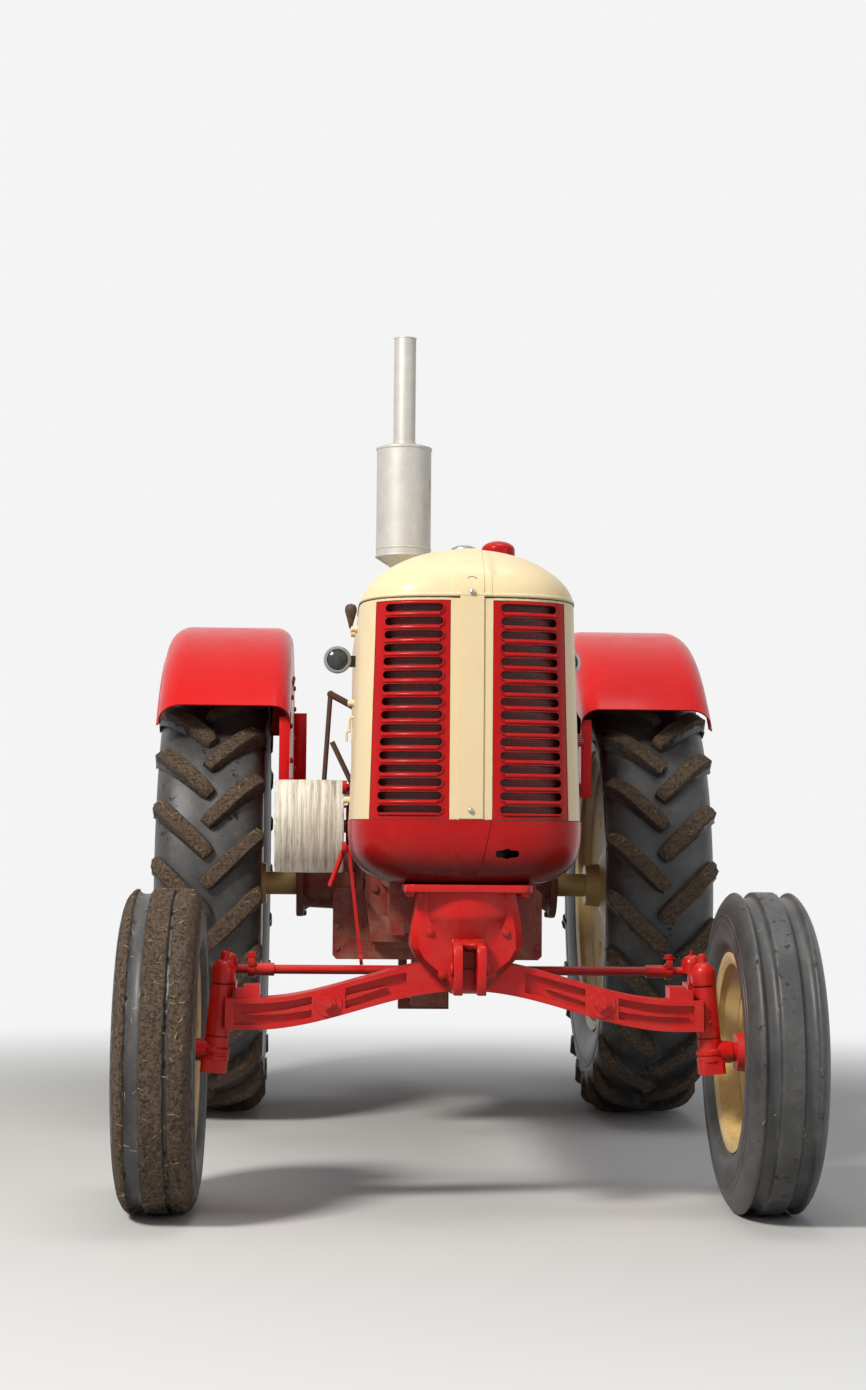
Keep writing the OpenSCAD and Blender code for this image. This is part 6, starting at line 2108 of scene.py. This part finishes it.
        bench.bolt(stack + Vector((0.0, -0.0390, 1.7125)), LEFT, 0.0065, 0.012, washer=False)
        mouth = [(0.0308, -0.003), (0.0322, -0.002), (0.0322, 0.0), (0.0295, 0.0), (0.0285, -0.003)]
        bench.turned(mouth, stack + UP * 2.3560, Axis.Z, 48)
        bench.done("silencer_seams", "chassis", [ALUMINIUM])

    def build(self) -> None:
        """Adds all of it."""
        self.dash()
        self.platform()
        self.lamps()
        self.seams()


@dataclass
class Castings:
    """The bolster's and the front hitch's cast forms, drawn from the photo."""

    half: float = 0.138
    pivot: float = 0.597
    seat: float = -0.102
    ear: float = 0.040
    slot: float = 0.018
    back: float = 0.099

    def at(self, x: float, y: float, rise: float) -> Vector:
        """Gives a point whose height is measured from the axle's pivot."""
        return front(x, y, self.pivot + rise)

    def outline(self, inset: float) -> list[Pair]:
        """Draws the bolster's cheek seen from the front.

        Args:
            inset: how far the outline is drawn in.

        Returns:
            Half widths and heights over the pivot, from the top left, down and round, to the top right.
        """
        wide = self.half - inset
        side = [(0.040 - inset / 2, -0.044 + inset / 2), (0.062 - inset, -0.022 + inset / 2),
                (wide - 0.012, 0.044), (wide + 0.002, 0.070), (wide, 0.118),
                (wide - 0.018, FRAME_Z - 0.010 - self.pivot)]
        return [(-x, z) for x, z in reversed(side)] + side

    def bolster(self) -> None:
        """Casts the bolster with its top plate, cheeks and round pot."""
        bench = Bench()
        bench.solid([bench.ring([self.at(x, y, z) for x, z in self.outline(inset)])
                     for y, inset in ((self.seat, 0.018), (self.seat + 0.020, 0.0), (self.back, 0.0))])
        corner = []
        for x, y, start in ((0.130, 0.069, 0), (-0.130, 0.069, 90), (-0.130, -0.125, 180),
                            (0.130, -0.125, 270)):
            turns = [radians(start + angle) for angle in range(0, 91, 15)]
            corner += [front(x + 0.030 * cos(turn), y + 0.030 * sin(turn), FRAME_Z - 0.020) for turn in turns]
        bench.plate(corner, (0, 0, 0.0196), 0.003)
        base = self.pivot + 0.016
        profile = [(0.0, base), (0.114, base)]
        for step in range(7):
            turn = radians(-16 + step * 16 / 6)
            profile.append((0.092 + 0.060 * cos(turn), self.pivot + 0.156 + 0.060 * sin(turn)))
        profile += [(0.152, FRAME_Z - 0.020), (0.146, FRAME_Z - 0.016), (0.0, FRAME_Z - 0.016)]
        bench.sector(profile, front(0, 0.014, 0), Axis.Z, -90 - 44, -90 + 44, 36)
        piece = bench.done("bolster_casting", "chassis", [RED_CAST], replaces=["front_bolster"])
        tool = Bench()
        tool.block(self.at(-0.20, -0.064, -0.080), self.at(0.20, 0.064, 0.058))
        tool.block(self.at(-self.ear, -0.200, -0.061), self.at(self.ear, self.seat, 0.094))
        tool.block(self.at(-0.104, 0.0, 0.059), self.at(0.104, self.back + 0.001, 0.116))
        tool.rod(self.at(0, 0, 0.057), self.at(0, 0, 0.120), 0.062, sides=64)
        carved(piece, tool, "casting_cutter", RED_CAST, True)
        tool = Bench()
        tool.rod(self.at(0, -0.150, 0), self.at(0, 0.150, 0), 0.0201, sides=64)
        tool.rod(self.at(0, 0, 0.072), front(0, 0, FRAME_Z - 0.030), 0.0222, sides=64)
        carved(piece, tool, "casting_cutter", RED_CAST, True)
        bevelled(piece, 0.0030, 40)
        even = piece.modifiers.new("even", "WEIGHTED_NORMAL")
        even.keep_sharp = True
        baked(piece)

    def hitch(self) -> None:
        """Casts the front hitch's two ears and the arch between them."""
        bench = Bench()
        side = [(self.seat, 0.094), (-0.150, 0.094)]
        for step in range(9):
            turn = radians(60 + step * 115 / 8)
            side.append((-0.190 + 0.038 * cos(turn), 0.056 + 0.034 * sin(turn)))
        side += [(-0.230, -0.010), (-0.222, -0.040), (self.seat, -0.040)]
        for way in SIDES:
            bench.plate([self.at(way * self.slot, y, z) for y, z in side], way * (self.ear - self.slot)
                        * LEFT, 0.0022)
        arch = [(self.seat, 0.0935), (-0.150, 0.0935), (-0.168, 0.088), (-0.172, 0.080), (-0.168, 0.070),
                (-0.150, 0.064), (self.seat, 0.064)]
        bench.plate([self.at(-self.ear + 0.004, y, z) for y, z in arch], (2 * self.ear - 0.008, 0, 0), 0.0012)
        piece = bench.done("hitch_casting", "chassis", [RED_CAST], replaces=["front_hitch"])
        tool = Bench()
        shoulder = [(0.042, 0.096), (0.024, 0.096), (0.024, 0.0945), (0.030, 0.0925), (0.034, 0.0895),
                    (0.0375, 0.0850), (0.0395, 0.0790), (0.040, 0.0740), (0.042, 0.0740)]
        for way in SIDES:
            tool.plate([self.at(way * x, -0.139, z) for x, z in shoulder], -0.110 * BACK)
        tool.rod(self.at(-0.060, -0.200, 0.022), self.at(0.060, -0.200, 0.022), 0.013, sides=48)
        carved(piece, tool, "casting_cutter", RED_CAST, True)

    def build(self) -> None:
        """Casts both."""
        self.bolster()
        self.hitch()


@dataclass
class Fenders:
    """The two shell fenders, with the lip at the height that the photo shows."""

    inner: float = 0.477
    outer: float = 0.905
    sheet: float = 0.005
    deck: float = 1.080
    lip: float = 1.412
    tail: float = -51.0
    sweep: float = 99.5
    steps: int = 50

    def section(self) -> list[Pair]:
        """Draws the rolled sheet's section.

        Returns:
            Points of radius and place across, round the whole sheet.
        """
        wide, tight = 0.080, 0.058
        out_r, out_x = ARC_R - wide, self.outer - wide
        in_r, in_x = ARC_R - tight, self.inner + tight

        def bend(radius: float, across: float, size: float, start: float, end: float,
                 count: int) -> list[Pair]:
            """Draws a round corner between two angles in degrees."""
            angles = [radians(start + (end - start) * step / count) for step in range(count + 1)]
            return [(radius + size * cos(a), across + size * sin(a)) for a in angles]

        points = [(out_r - 0.016, self.outer + 0.0075), (out_r - 0.006, self.outer)]
        points += bend(out_r, out_x, wide, 90, 0, 10) + bend(in_r, in_x, tight, 0, -90, 8)
        points += [(ARC_R - 0.200, self.inner), (ARC_R - 0.200, self.inner + self.sheet)]
        points += bend(in_r, in_x, tight - self.sheet, -90, 0, 8) + bend(out_r, out_x, wide - self.sheet, 0,
                                                                         90, 10)
        return points + [(out_r - 0.008, self.outer - self.sheet), (out_r - 0.020, self.outer + 0.0035)]

    def panel(self) -> list[Pair]:
        """Draws the inner panel's outline seen from the side, from the rear axle.

        Returns:
            Points of place along and height, round the panel.
        """
        line = [(-0.626, 1.336), (-0.626, self.deck), (-0.420, self.deck), (-0.330, 0.965), (0.330, 0.965),
                (0.440, self.deck), (0.520, self.deck), (0.520, self.lip)]
        turns = [radians(90 + 32.5 * step / 8) for step in range(-8, 9)]
        return line + [(0.752 * cos(turn), ARC_Z + 0.752 * sin(turn)) for turn in turns]

    def build(self) -> None:
        """Rolls both fenders."""
        for side in SIDES:
            bench = Bench()
            rings = []
            for step in range(self.steps + 1):
                turn = radians(self.tail + self.sweep * step / self.steps)
                rings.append(bench.ring([rear(side * across, -radius * sin(turn), ARC_Z + radius * cos(turn))
                                         for radius, across in self.section()]))
            bench.solid(rings)
            bench.plate([rear(side * self.inner, y, z) for y, z in self.panel()], side * self.sheet * LEFT)
            for low, high in (((self.inner, -0.632, self.deck), (0.511, -0.626, 1.336)),
                              ((0.431, 0.516, self.deck + 0.015), (0.480, 0.522, self.lip))):
                xs = sorted((side * low[0], side * high[0]))
                bench.block(rear(xs[0], *low[1:]), rear(xs[1], *high[1:]), 0.0012)
            name = hand(side)
            bench.done(f"fender_shell_{name}", "chassis", [RED_SHEET], replaces=[f"fender_{name}"])


# Room and camera


def seen(w: Wiring) -> Socket:
    """Gives 1 for camera, mirror and clear rays, which see the room as plain.

    Args:
        w: the wiring of the tree that asks.

    Returns:
        The socket of the value.
    """
    path = w.add("ShaderNodeLightPath").outputs
    both = w.math("MAXIMUM", path["Is Camera Ray"], path["Is Glossy Ray"])
    return w.math("MAXIMUM", both, path["Is Transmission Ray"])


@dataclass
class Studio:
    """The pale room, its lamps and the photo's camera."""

    pale: Colour = paint(244, 244, 244)
    width: float = 866.0
    height: float = 1390.0
    focal: float = 2292.6
    centre: Pair = (433.0, 650.0)
    sensor: float = 36.0
    angles: Place = (0.49, 4.83, -2.68)
    stand: Place = (-0.362, -7.2125, 0.9267)

    def backdrop(self) -> None:
        """Sets a pale world that only camera, mirror and clear rays see as white."""
        world = bpy.data.worlds.new("Pale_Room")
        bpy.context.scene.world = world
        world.use_nodes = True
        w = Wiring(world.node_tree)
        for node in list(world.node_tree.nodes):
            world.node_tree.nodes.remove(node)
        rise = w.add("ShaderNodeSeparateXYZ", {0: w.add("ShaderNodeTexCoord").outputs["Generated"]})
        sky = w.mix(w.band(rise.outputs["Z"], -0.1, 0.5), paint(150, 148, 146), paint(232, 238, 246))
        light = w.add("ShaderNodeBackground", {"Color": sky, "Strength": 0.34})
        plain = w.add("ShaderNodeBackground", {"Color": self.pale, "Strength": 1.0})
        both = w.add("ShaderNodeMixShader", {0: seen(w), 1: light.outputs[0], 2: plain.outputs[0]})
        w.add("ShaderNodeOutputWorld", {"Surface": both.outputs[0]})

    def floor(self) -> None:
        """Lays a floor that takes the shadow and fades into the pale room."""
        bench = Bench()
        bench.ring([(-60, -60, 0), (60, -60, 0), (60, 90, 0), (-60, 90, 0)])
        bmesh.ops.contextual_create(bench.bm, geom=bench.bm.edges[:])
        mesh = bpy.data.meshes.new("studio_floor")
        bench.bm.to_mesh(mesh)
        bench.bm.free()
        coat = Coat("Floor_Sheet", Roughness=0.9, Specular_IOR_Level=0.1)
        coat.shader.inputs["Base Color"].default_value = paint(206, 205, 203)
        w = coat.wiring
        place = w.add("ShaderNodeVectorMath", {0: coat.place}, operation="LENGTH")
        far = w.add("ShaderNodeMapRange", {"Value": place.outputs["Value"], "From Min": 1.9, "From Max": 5.0},
                    interpolation_type="SMOOTHSTEP").outputs["Result"]
        glow = w.add("ShaderNodeEmission", {"Color": self.pale, "Strength": 1.0})
        both = w.add("ShaderNodeMixShader", {0: w.times(far, seen(w)), 1: coat.shader.outputs[0],
                                             2: glow.outputs[0]})
        w.link(both.outputs[0], w.tree.nodes["Material Output"].inputs["Surface"])
        mesh.materials.append(coat.material)
        piece = placed("studio_floor", mesh)

    def lamp(self, name: str, place: Place, aim: Place, size: float, power: float,
             tint: Place = (1.0, 1.0, 1.0)) -> None:
        """Hangs one area lamp.

        Args:
            name: its name.
            place: where it hangs.
            aim: the point that it faces.
            size: its width.
            power: its watts.
            tint: its colour.
        """
        data = bpy.data.lights.new(name, "AREA")
        data.shape = "SQUARE"
        data.size = size
        data.energy = power
        data.color = tint
        way = Vector(aim) - Vector(place)
        turn = way.to_track_quat("-Z", "Y").to_matrix().to_4x4()
        placed(name, data).matrix_world = Matrix.Translation(Vector(place)) @ turn

    def camera(self) -> None:
        """Places the camera that was worked out from the photo."""
        data = bpy.data.cameras.new("photo_camera")
        data.sensor_fit = "VERTICAL"
        data.sensor_height = self.sensor
        data.lens = self.focal * self.sensor / self.height
        data.shift_x = (self.width / 2 - self.centre[0]) / self.height
        data.shift_y = -(self.height / 2 - self.centre[1]) / self.height
        data.clip_start, data.clip_end = 0.1, 100.0
        roll, pitch, yaw = (radians(angle) for angle in self.angles)
        columns = []
        for right, rise, deep in ((1, 0, 0), (0, 1, 0), (0, 0, -1)):
            x = cos(roll) * right - sin(roll) * rise
            u = sin(roll) * right + cos(roll) * rise
            y = cos(pitch) * deep - sin(pitch) * u
            z = sin(pitch) * deep + cos(pitch) * u
            columns.append(Vector((cos(yaw) * x - sin(yaw) * y, sin(yaw) * x + cos(yaw) * y, z)))
        camera = placed("photo_camera", data)
        camera.matrix_world = Matrix.Translation(Vector(self.stand)) @ Matrix(columns).transposed().to_4x4()
        bpy.context.scene.camera = camera

    def build(self) -> None:
        """Builds the whole room."""
        self.backdrop()
        self.floor()
        self.lamp("key", (-4.6, -6.2, 6.6), (0, -0.2, 0.9), 1.6, 790, (1.0, 0.97, 0.92))
        self.lamp("fill", (5.6, -6.0, 2.4), (0, -0.4, 0.9), 3.0, 42)
        self.lamp("top", (0.6, -1.4, 8.0), (0, 0.2, 0.8), 3.0, 120)
        self.camera()
        view = bpy.context.scene.view_settings
        view.view_transform = "Standard"
        view.look = "None"
        view.exposure = 0.0
        view.gamma = 1.0
        log.info("studio set")


def main() -> None:
    """Dresses the frame, adds the missing pieces and sets the room."""
    logging.basicConfig(level=logging.INFO, format="%(name)s: %(message)s")
    refit = Refit()
    for (finish, bevel), nodes in NODE_FINISHES.items():
        for node in nodes.split():
            refit.dress(node, finish, bevel)
    Nose().build()
    for side in SIDES:
        FrontTyre(side, FRONT_MUD[side], side < 0).build()
        RearTyre(side, REAR_MUD[side]).build()
    for maker in (Castings(), Fenders(), FrontTrim(), RearTrim(), EngineTrim(), DriverTrim(), Studio()):
        maker.build()


if __name__ == "__main__":
    main()
